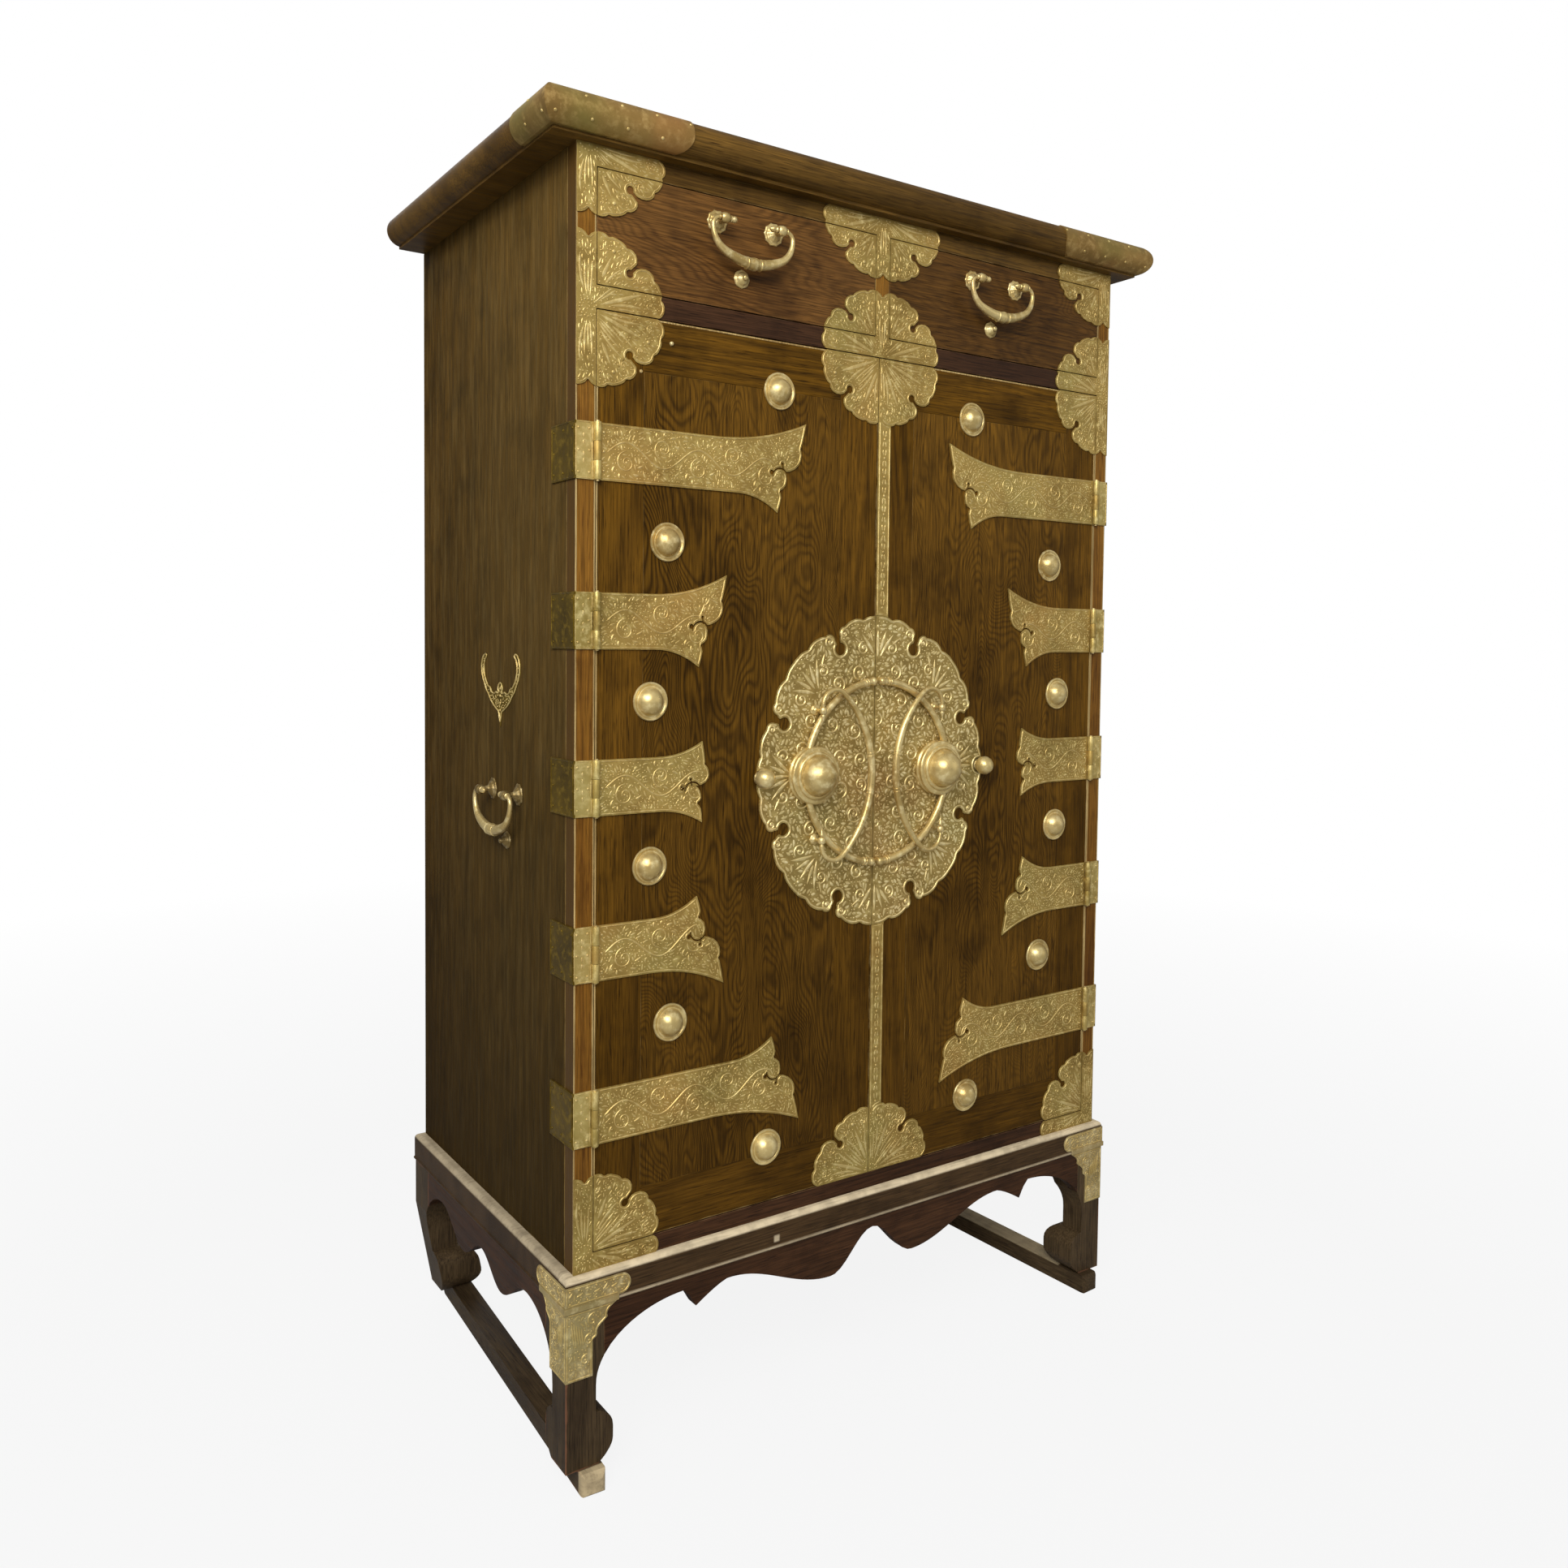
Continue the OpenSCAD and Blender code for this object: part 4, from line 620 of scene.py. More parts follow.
# Drop handles: swelling grip with a turned middle, lotus bud ends and petalled washers
handle = dict(half=40, width=56, drop=46, off=18, pin=2.5, thick=6.6, elbow=10, shoulder=30, washer=14,
              inner=(31.0, 32.5, 34.0, 40.0), plain=15, budEnd=33.4, collar=46.4, strikeDrop=60, strikeOff=-5)
handleAt = dict(left=-210, right=196, rise=34, back=193, up=529, squash=(0.84, 1.0))
grip = [(5.6, -11), (6.9, -10.4), (7.3, -9.4), (6.9, -8.4), (6.0, -7.6), (6.3, -6.0), (7.2, -3.6), (7.8, 0)]
gripBud = [(2.6, 0.0), (3.9, 0.6), (4.1, 1.6), (3.2, 2.4), (2.9, 3.2), (3.7, 4.4), (3.9, 5.8), (3.4, 7.6), (2.2, 9.2),
           (0.9, 10.4), (0.2, 10.9)]
gripCollar = [(2.6, 0), (3.6, 0.5), (3.8, 1.3), (3.0, 2.0), (2.6, 2.2)]
postNeck = [(3.6, 8.4), (3.2, 10.6), (3.6, 12.8), (4.2, 13.6)]
postEye = [(2.75, -4.6), (4.2, -5.4), (5.6, -3.8), (6.3, 0), (5.6, 3.8), (4.2, 5.4), (2.75, 4.6)]
strikeStud = [(11.2, 0), (11.2, 0.9), (10.2, 1.8), (8.8, 2.0), (8.2, 2.8), (7.2, 4.8), (5.4, 6.2), (3.9, 6.8),
              (3.3, 7.6), (3.5, 8.8), (3.3, 9.9), (2.2, 10.9), (0.3, 11.3)]


def handleLine():                   # left half, from the bud to the middle of the grip: (x, z, radius)
    w, e, s = handle["width"], handle["elbow"], handle["shoulder"]
    slope = (handle["drop"] - e - s) / (w - s)
    turn = radians(90 - 2 * math.degrees(math.atan(slope)))
    big = s + (w - s) / cos(turn)
    midZ = -e + (w - s) * math.tan(turn)

    def arc(x, z, radius, start, end, steps):
        angles = [start + (end - start) * i / steps for i in range(1, steps + 1)]
        return [(x + radius * cos(a), z + radius * sin(a)) for a in angles]

    line = [(-x, 0.0) for x in handle["inner"] + (w - e,)]
    line += arc(e - w, -e, e, pi / 2, pi, 8) + arc(s - w, -e, s, pi, pi + turn, 14)
    line += arc(0, midZ, big, pi + turn, 1.5 * pi, 10)
    length = [0.0]
    for p, q in zip(line, line[1:]):
        length.append(length[-1] + math.dist(p, q))
    swell = []
    for (x, z), run in zip(line, length):
        t = max(0.0, (run - handle["plain"]) / (length[-1] - handle["plain"]))
        swell.append((x, z, handle["pin"] + (handle["thick"] - handle["pin"]) * (t * t * (3 - 2 * t))))
    return swell, midZ - big


def dropHandle(name, body, instead, at, out, along):
    def where(x, z):
        return at + (Vector(along) * x + Vector(out) * handle["off"]) / 1000 + Vector((0, 0, z / 1000))

    line, lowest = handleLine()
    whole = line + [(-x, z, r) for x, z, r in line[::-1][1:]]
    shape = newShape()
    bentRod(shape, [where(x, z) for x, z, r in whole], [r for x, z, r in whole], 16)
    turned(shape, grip + [(r, -h) for r, h in grip[::-1][1:]], where(0, lowest), along, 24)
    for turn in (-1, 1):
        turned(shape, gripBud, where(turn * handle["budEnd"], 0), Vector(along) * -turn, 18)
        turned(shape, gripCollar, where(turn * handle["collar"], 0), Vector(along) * turn, 18)
    fitting(shape, name, body, instead)


def eyePosts(shape, at, out, along, squash=(1.0, 1.0)):
    w = handle["washer"]
    washer = [(w, 0), (w, 0.9), (w - 0.8, 1.7), (w - 2.2, 2.0), (w - 3.2, 1.6), (w - 3.8, 1.8), (w - 4.6, 3.4),
              (w - 6.6, 5.2), (w - 9.4, 6.6)]
    for turn in (-1, 1):
        foot = at + Vector(along) * (turn * handle["half"] / 1000)
        turned(shape, washer + postNeck, foot, out, 40, 10, 0.09, squash)
        turnedRing(shape, postEye, foot + Vector(out) * handle["off"] / 1000, along, 26)
    stud = at + Vector(along) * (handle["strikeOff"] / 1000) - Vector((0, 0, handle["strikeDrop"] / 1000))
    turned(shape, strikeStud, stud, out, 28, 8, 0.07)


drawerLow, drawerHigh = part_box("drawer_front_left")
drawerMid = ((drawerLow.z + drawerHigh.z) / 2 - floorZ) * 1000
for side, sign in hands:
    at = onFront(handleAt[side], drawerMid + handleAt["rise"], 0)
    shape = newShape()
    eyePosts(shape, at, (0, -1, 0), (1, 0, 0))
    fitting(shape, "drawer_eyes_" + side, "drawer_" + side, "drawer_posts_" + side)
    dropHandle("drawer_grip_" + side, "drawer_handle_" + side, "drawer_bail_" + side, at, (0, -1, 0), (1, 0, 0))
shape = newShape()
for side, sign in hands:
    at = (onLeft if sign < 0 else onRight)(handleAt["back"], handleAt["up"], 0)
    eyePosts(shape, at, (sign, 0, 0), (0, 1, 0), handleAt["squash"])
    dropHandle("side_grip_" + side, "side_handle_" + side, "side_bail_" + side, at, (sign, 0, 0), (0, 1, 0))
fitting(shape, "side_eyes", "cabinet", "side_handle_posts", 50, brassDull)
print("drop handles")


# Chasing kit. The outward faces of a plate are read from the CAD as outlines in carcass millimetres
views = dict(front=dict(u=0, v=2, out=1, sign=-1, zero=0.0, at=onFront),
             left=dict(u=1, v=2, out=0, sign=-1, zero=halfWidth, at=onLeft),
             right=dict(u=1, v=2, out=0, sign=1, zero=halfWidth, at=onRight))
cell = 1.3


def plateFaces(name, view, share):
    look = views[view]
    mesh = parts[name].data
    spots = [(p.co.x * 1000, (p.co.y - frontY) * 1000, (p.co.z - floorZ) * 1000) for p in mesh.vertices]
    levels = {}
    for face in mesh.polygons:
        if face.normal[look["out"]] * look["sign"] > 0.98:
            level = sum(spots[i][look["out"]] for i in face.vertices) / len(face.vertices)
            levels.setdefault(round(level * look["sign"] - look["zero"], 1), []).append(face)
    areas = {level: sum(face.area for face in faces) for level, faces in levels.items()}
    found = []
    for level in sorted(levels):
        if areas[level] < share * max(areas.values()):
            continue
        edges = {}
        for face in levels[level]:
            keys = [(round(spots[i][look["u"]], 2), round(spots[i][look["v"]], 2)) for i in face.vertices]
            for a, b in zip(keys, keys[1:] + keys[:1]):
                if a != b and edges.pop((b, a), None) is None:
                    edges[(a, b)] = True
        onward = {}
        for a, b in edges:
            onward.setdefault(a, []).append(b)
        loops = []
        while onward:
            start = next(iter(onward))
            loop, here = [start], start
            while here in onward:
                step = onward[here].pop()
                if not onward[here]:
                    del onward[here]
                here = step
                if here == start:
                    break
                loop.append(here)
            if len(loop) > 2:
                loops.append(np.array(loop, float))
        a = np.concatenate(loops)
        b = np.concatenate([np.roll(loop, -1, 0) for loop in loops])
        found.append(dict(level=level, loops=loops, a=a, b=b, run=((b - a) ** 2).sum(1) + 1e-9, view=view))
    return found


# Distance to the plate's edge, below zero outside the plate
def clearance(plate, u, v):
    a, b = plate["a"], plate["b"]
    p = np.array((u, v))
    t = np.clip(((p - a) * (b - a)).sum(1) / plate["run"], 0, 1)
    near = math.sqrt((((a + (b - a) * t[:, None]) - p) ** 2).sum(1).min())
    across = (a[:, 1] > v) != (b[:, 1] > v)
    rise = np.where(across, b[:, 1] - a[:, 1], 1.0)
    hits = across & (u < (b[:, 0] - a[:, 0]) * (v - a[:, 1]) / rise + a[:, 0])
    return near if hits.sum() % 2 else -near


def startWork(plate, seed):
    return dict(plate=plate, shape=newShape(), used=set(), dice=random.Random(seed))


# A raised stroke with three sides: a crest between two edges, sunk a little into the plate
def ridge(work, path, widths, height):
    at, level = views[work["plate"]["view"]]["at"], work["plate"]["level"]
    count = len(path)
    points = []
    for i, (u, v) in enumerate(path):
        a, b = path[max(i - 1, 0)], path[min(i + 1, count - 1)]
        du, dv = b[0] - a[0], b[1] - a[1]
        long = hypot(du, dv) or 1.0
        half = widths[i] / 2
        nu, nv = -dv / long * half, du / long * half
        rise = height * min(1.0, widths[i] / max(widths) * 1.3)
        points += [at(u + nu, v + nv, level - 0.05), at(u, v, level + rise), at(u - nu, v - nv, level - 0.05)]
    faces = [[0, 1, 2], [3 * count - 1, 3 * count - 2, 3 * count - 3]]
    for i in range(count - 1):
        for k in range(3):
            m = (k + 1) % 3
            faces.append([3 * i + k, 3 * i + 3 + k, 3 * i + 3 + m, 3 * i + m])
    if work["plate"]["view"] != "left":
        faces = [face[::-1] for face in faces]
    extend(work["shape"], points, faces)


def cells(path, width):
    taken = set()
    reach = max(0, int(width / 2 / cell))
    for u, v in path:
        a, b = round(u / cell), round(v / cell)
        for i in range(-reach, reach + 1):
            for j in range(-reach, reach + 1):
                taken.add((a + i, b + j))
    return taken


# Lays a stroke on the longest stretch of its path that is on the plate and not yet used
def stroke(work, path, widths, height, margin, atLeast, crowd=False):
    good, best = [], []
    for i, (u, v) in enumerate(path):
        fine = crowd or (round(u / cell), round(v / cell)) not in work["used"]
        if fine and clearance(work["plate"], u, v) > widths[i] / 2 + margin:
            good.append(i)
            if len(good) > len(best):
                best = list(good)
        else:
            good = []
    if len(best) < atLeast:
        return False
    path = [path[i] for i in best]
    widths = [widths[i] for i in best]
    if best[-1] != best[0] and len(best) > 2:
        widths[0] *= 0.35
        widths[-1] *= 0.35
    ridge(work, path, widths, height)
    work["used"] |= cells(path, max(widths) + 1.2)
    return True


# Width along a stroke that is narrow at both ends; t runs from 0 to 1
def taper(t, power, least=0.15, start=0.05):
    return max(least, sin(pi * min(1.0, start + (1 - start) * t)) ** power)


def leaf(work, u, v, angle, length, width, bend=0.0, height=0.5, whole=True):
    path, widths = [], []
    for i in range(7):
        t = i / 6
        path.append((u, v))
        widths.append(width * taper(t, 0.8, 0.12, 0.06))
        u += length / 6 * cos(angle + bend * t)
        v += length / 6 * sin(angle + bend * t)
    return stroke(work, path, widths, height, 1.2, 6 if whole else 4)


def spiral(work, u, v, radius, start, hand, width, turns):
    steps = 26
    path = []
    for i in range(steps):
        t = i / (steps - 1)
        a = start + hand * turns * 2 * pi * t
        r = radius * (1 - 0.80 * t)
        path.append((u + r * cos(a), v + r * sin(a)))
    stroke(work, path, [width * (1 - 0.35 * i / steps) for i in range(steps)], 0.3 + width * 0.25, 1.0, 8, True)
    pin(work, u, v, width * 0.75)


def nailProfile(radius, height, sunk):
    return [(radius, -sunk), (radius * 0.92, height * 0.45), (radius * 0.6, height * 0.85), (radius * 0.12, height)]


def pin(work, u, v, radius, height=0.8):
    if clearance(work["plate"], u, v) < radius + 0.6:
        return
    look = views[work["plate"]["view"]]
    out = [0, 0, 0]
    out[look["out"]] = look["sign"]
    turned(work["shape"], nailProfile(radius, height, 0.05), look["at"](u, v, work["plate"]["level"]), out, 8)
    work["used"] |= cells([(u, v)], radius * 2 + 1.5)


# Raised line along the plate's edge. Straight cut edges are left out where the plate is split
def rim(work, inset, width, height, skip="uv", longest=5.0):
    plate = work["plate"]
    for loop in plate["loops"]:
        ring = []
        for a, b in zip(loop, np.roll(loop, -1, 0)):
            du, dv = b - a
            length = hypot(du, dv)
            cut = length > longest and (("u" in skip and abs(dv) < 0.03) or ("v" in skip and abs(du) < 0.03))
            steps = max(1, int(length / 2.2))
            for i in range(steps):
                t = (i + 0.5) / steps
                p = a + (b - a) * t
                n = np.array((-dv, du)) / max(length, 1e-6) * inset
                q = None
                for r in (p + n, p - n):
                    if not cut and clearance(plate, r[0], r[1]) > inset * 0.86:
                        q = (float(r[0]), float(r[1]))
                        break
                ring.append(q)
        if None in ring:
            first = ring.index(None)
            ring = ring[first:] + ring[:first]
        else:
            ring.append(ring[0])
        run = []
        for q in ring + [None]:
            if q is not None and (not run or math.dist(q, run[-1]) < 6.0):
                if not run or math.dist(q, run[-1]) > 0.7:
                    run.append(q)
                continue
            if len(run) > 3:
                ridge(work, run, [width * 0.5] + [width] * (len(run) - 2) + [width * 0.5], height)
                work["used"] |= cells(run, width + 1.4)
            run = [q] if q is not None else []


# Leaves that fill what is left of a plate, turned by a flow
def fillLeaves(work, flow, spacing, length, width, area=None):
    plate, dice = work["plate"], work["dice"]
    low, high = plate["a"].min(0), plate["a"].max(0)
    if area:
        low, high = np.maximum(low, area[:2]), np.minimum(high, area[2:])
    row = 0
    v = low[1]
    while v < high[1]:
        u = low[0] + (spacing / 2 if row % 2 else 0)
        while u < high[0]:
            cu, cv = u + dice.uniform(-1.2, 1.2), v + dice.uniform(-1.2, 1.2)
            turn, long, bend = dice.uniform(-0.35, 0.35), dice.uniform(0.8, 1.25), dice.uniform(-1.0, 1.0)
            if clearance(plate, cu, cv) > 1.6:
                angle = flow(cu, cv) + turn
                size = length * long
                tail = cu - cos(angle) * size / 2, cv - sin(angle) * size / 2
                laid = leaf(work, *tail, angle, size, width, bend)
                free = (round(cu / cell), round(cv / cell)) not in work["used"]
                if not laid and free and clearance(plate, cu, cv) > 2.2:
                    pin(work, cu, cv, 0.9, 0.5)
            u += spacing
        v += spacing * 0.8
        row += 1


# Scalloped flower plates: radial leaves in rings round each centre, with pins in the lobes
flower = dict(rx=98, rz=86, side=416, top=1257.5)
lowerFlowers = ((doorTop, 1.0), (doorBottom, 1.05))
flowerAt = [(0, z, tall) for z, tall in ((flower["top"], 0.92),) + lowerFlowers]
flowerAt += [(sign * flower["side"], z, tall) for sign in (-1, 1) for z, tall in ((flower["top"], 0.9),) + lowerFlowers]


def chaseFlowers(work):
    for cu, cv, tall in flowerAt:
        rx, rz = flower["rx"], flower["rz"] * tall
        low, high = work["plate"]["a"].min(0), work["plate"]["a"].max(0)
        if not (low[0] - rx < cu < high[0] + rx and low[1] - rz < cv < high[1] + rz):
            continue

        def place(share, degrees, cu=cu, cv=cv, rx=rx, rz=rz):
            a = radians(degrees)
            return cu + share * rx * cos(a), cv + share * rz * sin(a)

        def spoke(degrees, inner, outer, width, lean=0.0):
            path = [place(inner + (outer - inner) * i / 8, degrees + lean * (i / 8) ** 2) for i in range(9)]
            stroke(work, path, [width * taper(i / 8, 0.7) for i in range(9)], 0.6, 0.8, 4)

        for petal in range(8):
            axis = 22.5 + 45 * petal
            pin(work, *place(0.83, axis), 2.3, 1.1)
            spoke(axis, 0.16, 0.74, 4.6)
            for side in (-1, 1):
                spoke(axis + side * 8.5, 0.24, 0.70, 3.0, side * 6)
                spoke(axis + side * 15.5, 0.16, 0.60, 2.6, side * 3)
                spiral(work, *place(0.80, axis + side * 11.5), 4.6, radians(axis) + side * 1.2, side, 1.3, 1.1)
            spoke(axis + 22.5, 0.10, 0.50, 2.4)
        for k in range(16):
            pin(work, *place(0.11, 22.5 * k), 1.1, 0.7)
        reach = max(rx, rz)
        around = (cu - reach, cv - reach, cu + reach, cv + reach)
        fillLeaves(work, lambda u, v: math.atan2(v - cv, u - cu), 4.6, 7.0, 1.9, around)


# Straps: a running vine with a curl in each bend, leaves between, pins at the root
strapVine = dict(lift=0.40, wave=3.0, curl=0.40, curlOff=0.30, pins=3, shortest=45, begin=10, end=12, rootPin=5.5)


def chaseStraps(work, rootSign):
    plate = work["plate"]
    for loop in plate["loops"]:
        u0, v0 = loop.min(0)
        u1, v1 = loop.max(0)
        if u1 - u0 < strapVine["shortest"]:
            continue
        root, tip = (u0, u1) if rootSign < 0 else (u1, u0)
        ahead = 1 if tip > root else -1
        edges = list(zip(loop, np.roll(loop, -1, 0)))

        def edgesAt(u):
            hits = sorted(float(a[1] + (b[1] - a[1]) * (u - a[0]) / (b[0] - a[0])) for a, b in edges
                          if (a[0] > u) != (b[0] > u))
            return (hits[0], hits[-1]) if len(hits) > 1 else (v0, v1)

        begin, wide = strapVine["begin"], strapVine["end"]
        bottom, top = edgesAt(root + ahead * wide)
        half, mid = (top - bottom) / 2, (top + bottom) / 2
        for k in range(strapVine["pins"]):
            v = bottom + (top - bottom) * (k + 0.5) / strapVine["pins"]
            pin(work, root + ahead * strapVine["rootPin"], v, 1.7, 1.1)
        wave = strapVine["wave"] * half
        long = abs(tip - root) - begin - wide
        steps = int(long / 2.4)
        stem = []
        for i in range(steps + 1):
            run = begin + long * i / steps
            u = root + ahead * run
            low, high = edgesAt(u)
            stem.append((u, (low + high) / 2 + strapVine["lift"] * half * sin(2 * pi * (run - begin) / wave)))
        stroke(work, stem, [2.0] * len(stem), 0.8, 0.8, 4, True)
        run, side, curl = begin + wave / 4, 1, strapVine["curl"] * half
        while run - begin < long:
            u = root + ahead * run
            low, high = edgesAt(u)
            v = (low + high) / 2 - side * strapVine["curlOff"] * half
            spiral(work, u, v, curl, pi / 2 * side, side * ahead, 1.8, 1.35)
            for turn in range(-2, 3):
                angle = -side * pi / 2 + turn * 0.62
                leaf(work, u + (curl + 2.4) * cos(angle), v + (curl + 2.4) * sin(angle),
                     angle + 0.5 * ahead * side, 8.5, 3.0, 0.7 * side * ahead, 0.8, False)
            run, side = run + wave / 2, -side

        def flow(u, v):
            return 0.5 + 1.1 * sin(u / half * 1.9) + (0.9 if v > mid else -0.9)

        onward = np.roll(loop, -1, 0)
        part = dict(plate, loops=[loop], a=loop, b=onward, run=((onward - loop) ** 2).sum(1) + 1e-9)
        fillLeaves(dict(work, plate=part), flow, 4.6, 7.6, 2.0)


# Medallion: curls in both ends of each lobe, palmettes between them and scrolls over the middle
# Curls are (share of the radius, degrees from the axis, radius, start, hand, width), rings (share, count, radius)
medal = dict(rx=187, rz=201, curlAt=1 - 13.6 / 190, curlTurn=4.2, curlRadius=6.6,
             curls=((0.80, 9, 9.0, 0, 1, 2.6), (0.66, 14, 10.5, 180, -1, 2.8)),
             rings=((0.50, 14, 11.0), (0.33, 10, 11.5), (0.16, 6, 10.0)))


def chaseMedallion(work):
    rx, rz = medal["rx"], medal["rz"]

    def place(share, degrees):
        a = radians(degrees)
        return share * rx * cos(a), doorMid + share * rz * sin(a)

    for lobe in range(8):
        axis = 45 * lobe
        for side in (-1, 1):
            turn = axis + side * (22.5 - medal["curlTurn"])
            spiral(work, *place(medal["curlAt"], turn), medal["curlRadius"], radians(turn) - side * 1.9, side,
                   2.8, 1.25)
            for share, away, radius, begin, hand, width in medal["curls"]:
                spiral(work, *place(share, axis + side * away), radius, radians(axis + begin), side * hand, width, 1.3)
        for k in range(-3, 4):
            path = [place(0.74 + 0.17 * i / 8 * (1 - 0.05 * abs(k)), axis + k * (0.9 + 3.6 * i / 8)) for i in range(9)]
            stroke(work, path, [4.4 * taper(i / 8, 0.8) for i in range(9)], 1.1, 0.8, 4)
        pin(work, *place(0.935, axis), 1.9, 1.1)
    for share, count, radius in medal["rings"]:
        for k in range(count):
            turn = 360 * (k + 0.5) / count
            spiral(work, *place(share, turn), radius, radians(turn + 90), 1 if k % 2 else -1, 2.8, 1.3)

    def flow(u, v):
        a = math.atan2((v - doorMid) / rz, u / rx)
        r = hypot((v - doorMid) / rz, u / rx)
        return a + 1.3 * sin(r * 26) + 0.6 * sin(a * 16)

    fillLeaves(work, flow, 5.6, 9.0, 3.6)


# Draws on each face of a plate that looks out of the view: a line along the edge, then what draw adds
def chase(piece, view, seed, edge, draw, name, body, finish=brassChased, share=0.12, numbered=False):
    for number, plate in enumerate(plateFaces(piece, view, share)):
        work = startWork(plate, seed)
        rim(work, *edge)
        draw(work)
        if work["shape"]["faces"]:
            makePiece(work["shape"], name + (str(number) if numbered else ""), finish, body, (), 60)


plateEdge = (2.2, 1.6, 0.75)
for side, sign in hands:
    chase("medallion_" + side, "front", 11, (2.6, 2.4, 1.0, "v"), chaseMedallion, "medallion_chasing_" + side,
          "door_" + side, brassRaised)
    chase("door_straps_" + side, "front", 12, (2.0, 1.6, 0.75, "v"), lambda work: chaseStraps(work, sign),
          "strap_chasing_" + side, "door_" + side)
    for group, body in (("door_plates_", "door_"), ("drawer_plates_", "drawer_")):
        chase(group + side, "front", 13, plateEdge, chaseFlowers, group + "chasing_" + side, body + side)
chase("frame_plates", "front", 14, plateEdge, chaseFlowers, "frame_plates_chasing_", "cabinet", numbered=True)

# Seam strip: two edge lines with pins and small leaf pairs between them
strip = dict(end=12, step=24, pin=1.7, leaf=8.0)


def chaseStrip(work):
    low, high = work["plate"]["a"].min(0), work["plate"]["a"].max(0)
    middle = (low[0] + high[0]) / 2
    v = low[1] + strip["end"]
    while v < high[1] - strip["end"]:
        pin(work, middle, v, strip["pin"], 1.0)
        for turn in (-1, 1):
            for up in (1, -1):
                leaf(work, middle + turn * 1.2, v + up * 3.2, up * (pi / 2 - turn * 0.35), strip["leaf"], 2.4,
                     up * turn * 0.5, 0.6)
        v += strip["step"]


chase("door_edge_strip", "front", 15, (1.9, 1.3, 0.6, "u", 30), chaseStrip, "edge_strip_chasing", "door_right")
print("chasing")


def partWay(low, high, share):
    return low[1] + (high[1] - low[1]) * share


# Hinge leaves on the stiles: edge line, pins near both ends and small leaves down the middle
leafLook = dict(narrowest=8, near=4.5, far=5.5, inset=6, pin=(1.5, 0.9), pins=(0.12, 0.5, 0.88), sidePins=(0.13, 0.87),
                leaves=(0.28, 0.4, 0.6, 0.72))


def chaseLeaf(work):
    for loop in work["plate"]["loops"]:
        low, high = loop.min(0), loop.max(0)
        if high[0] - low[0] < leafLook["narrowest"]:
            continue
        for u in (low[0] + leafLook["near"], high[0] - leafLook["far"]):
            for share in leafLook["pins"]:
                pin(work, u, partWay(low, high, share), *leafLook["pin"])
        for share in leafLook["leaves"]:
            leaf(work, (low[0] + high[0]) / 2 - 0.5, partWay(low, high, share), pi / 2, 5.0, 2.6, 0.2, 0.6)


def chaseSideLeaf(work):
    for loop in work["plate"]["loops"]:
        low, high = loop.min(0), loop.max(0)
        inset = leafLook["inset"]
        for u in (low[0] + inset, (low[0] + high[0]) / 2, high[0] - inset):
            for share in leafLook["sidePins"]:
                pin(work, u, partWay(low, high, share), *leafLook["pin"])
        pin(work, high[0] - inset, (low[1] + high[1]) / 2, *leafLook["pin"])


chase("hinge_frame_leaves", "front", 16, (1.4, 1.1, 0.5, ""), chaseLeaf, "leaf_chasing_", "cabinet",
      share=0.4, numbered=True)
for side, sign in hands:
    chase("hinge_frame_leaves", side, 17, (1.6, 1.1, 0.5, ""), chaseSideLeaf, "side_leaf_chasing_" + side, "cabinet",
          brassLeaf, 0.4, True)

# Winged ornaments on the sides: bright raised edges and ribs over a ground darkened with painted shade
wing = dict(ribs=7, first=10, apart=7.0, length=13, pins=5)


def chaseWings(work):
    low, high = work["plate"]["a"].min(0), work["plate"]["a"].max(0)
    middle = (low[0] + high[0]) / 2
    for turn in (-1, 1):
        for k in range(wing["ribs"]):
            u = middle + turn * (wing["first"] + wing["apart"] * k)
            leaf(work, u, partWay(low, high, 0.55 + 0.02 * k), pi / 2 - turn * (0.15 + 0.04 * k),
                 wing["length"] + k, 2.4, -turn * 0.3, 0.9, False)
    for k in range(wing["pins"]):
        pin(work, middle, low[1] + 12 + 9 * k, 1.8, 1.2)
    fillLeaves(work, lambda u, v: pi / 2, 4.4, 6.0, 1.8)


for side, sign in hands:
    chase("side_bats", side, 18, (1.5, 2.0, 1.1, ""), chaseWings, "wing_relief_" + side, "cabinet", share=0.3)

# Stand corners: scrolls and long leaves on the leg leaf, pins and leaves on the band
corner = dict(tall=60, step=11.0, spirals=3, leaves=6)


def chaseStandCorner(work):
    for loop in work["plate"]["loops"]:
        low, high = loop.min(0), loop.max(0)
        outer = low[0] if (low[0] + high[0] < 0 or work["plate"]["view"] != "front") else high[0]
        turn = 1 if outer == low[0] else -1
        if high[1] - low[1] > corner["tall"]:
            for k in range(corner["spirals"]):
                spiral(work, outer + turn * (34 - 4.5 * k), high[1] - 14 - 22 * k, 8.2 - 0.6 * k, 1.2 * turn, turn,
                       2.0, 0.8)
            for k in range(corner["leaves"]):
                leaf(work, outer + turn * (7 + 3.2 * k), high[1] - 8 - 3 * k, -pi / 2 + turn * 0.12, 34 - 3 * k,
                     2.4, 0, 0.8, False)
            continue
        u = low[0] + 6
        while u < high[0] - 4:
            pin(work, u, low[1] + 5, 1.4, 0.9)
            pin(work, u, high[1] - 5, 1.4, 0.9)
            leaf(work, u - 3, (low[1] + high[1]) / 2, 0.5 * sin(u), 8.5, 3.0, 0.8, 0.8, False)
            u += corner["step"]
    fillLeaves(work, lambda u, v: 0.9 + 1.2 * sin(u * 0.13) + 0.8 * sin(v * 0.17), 4.6, 7.2, 2.1)


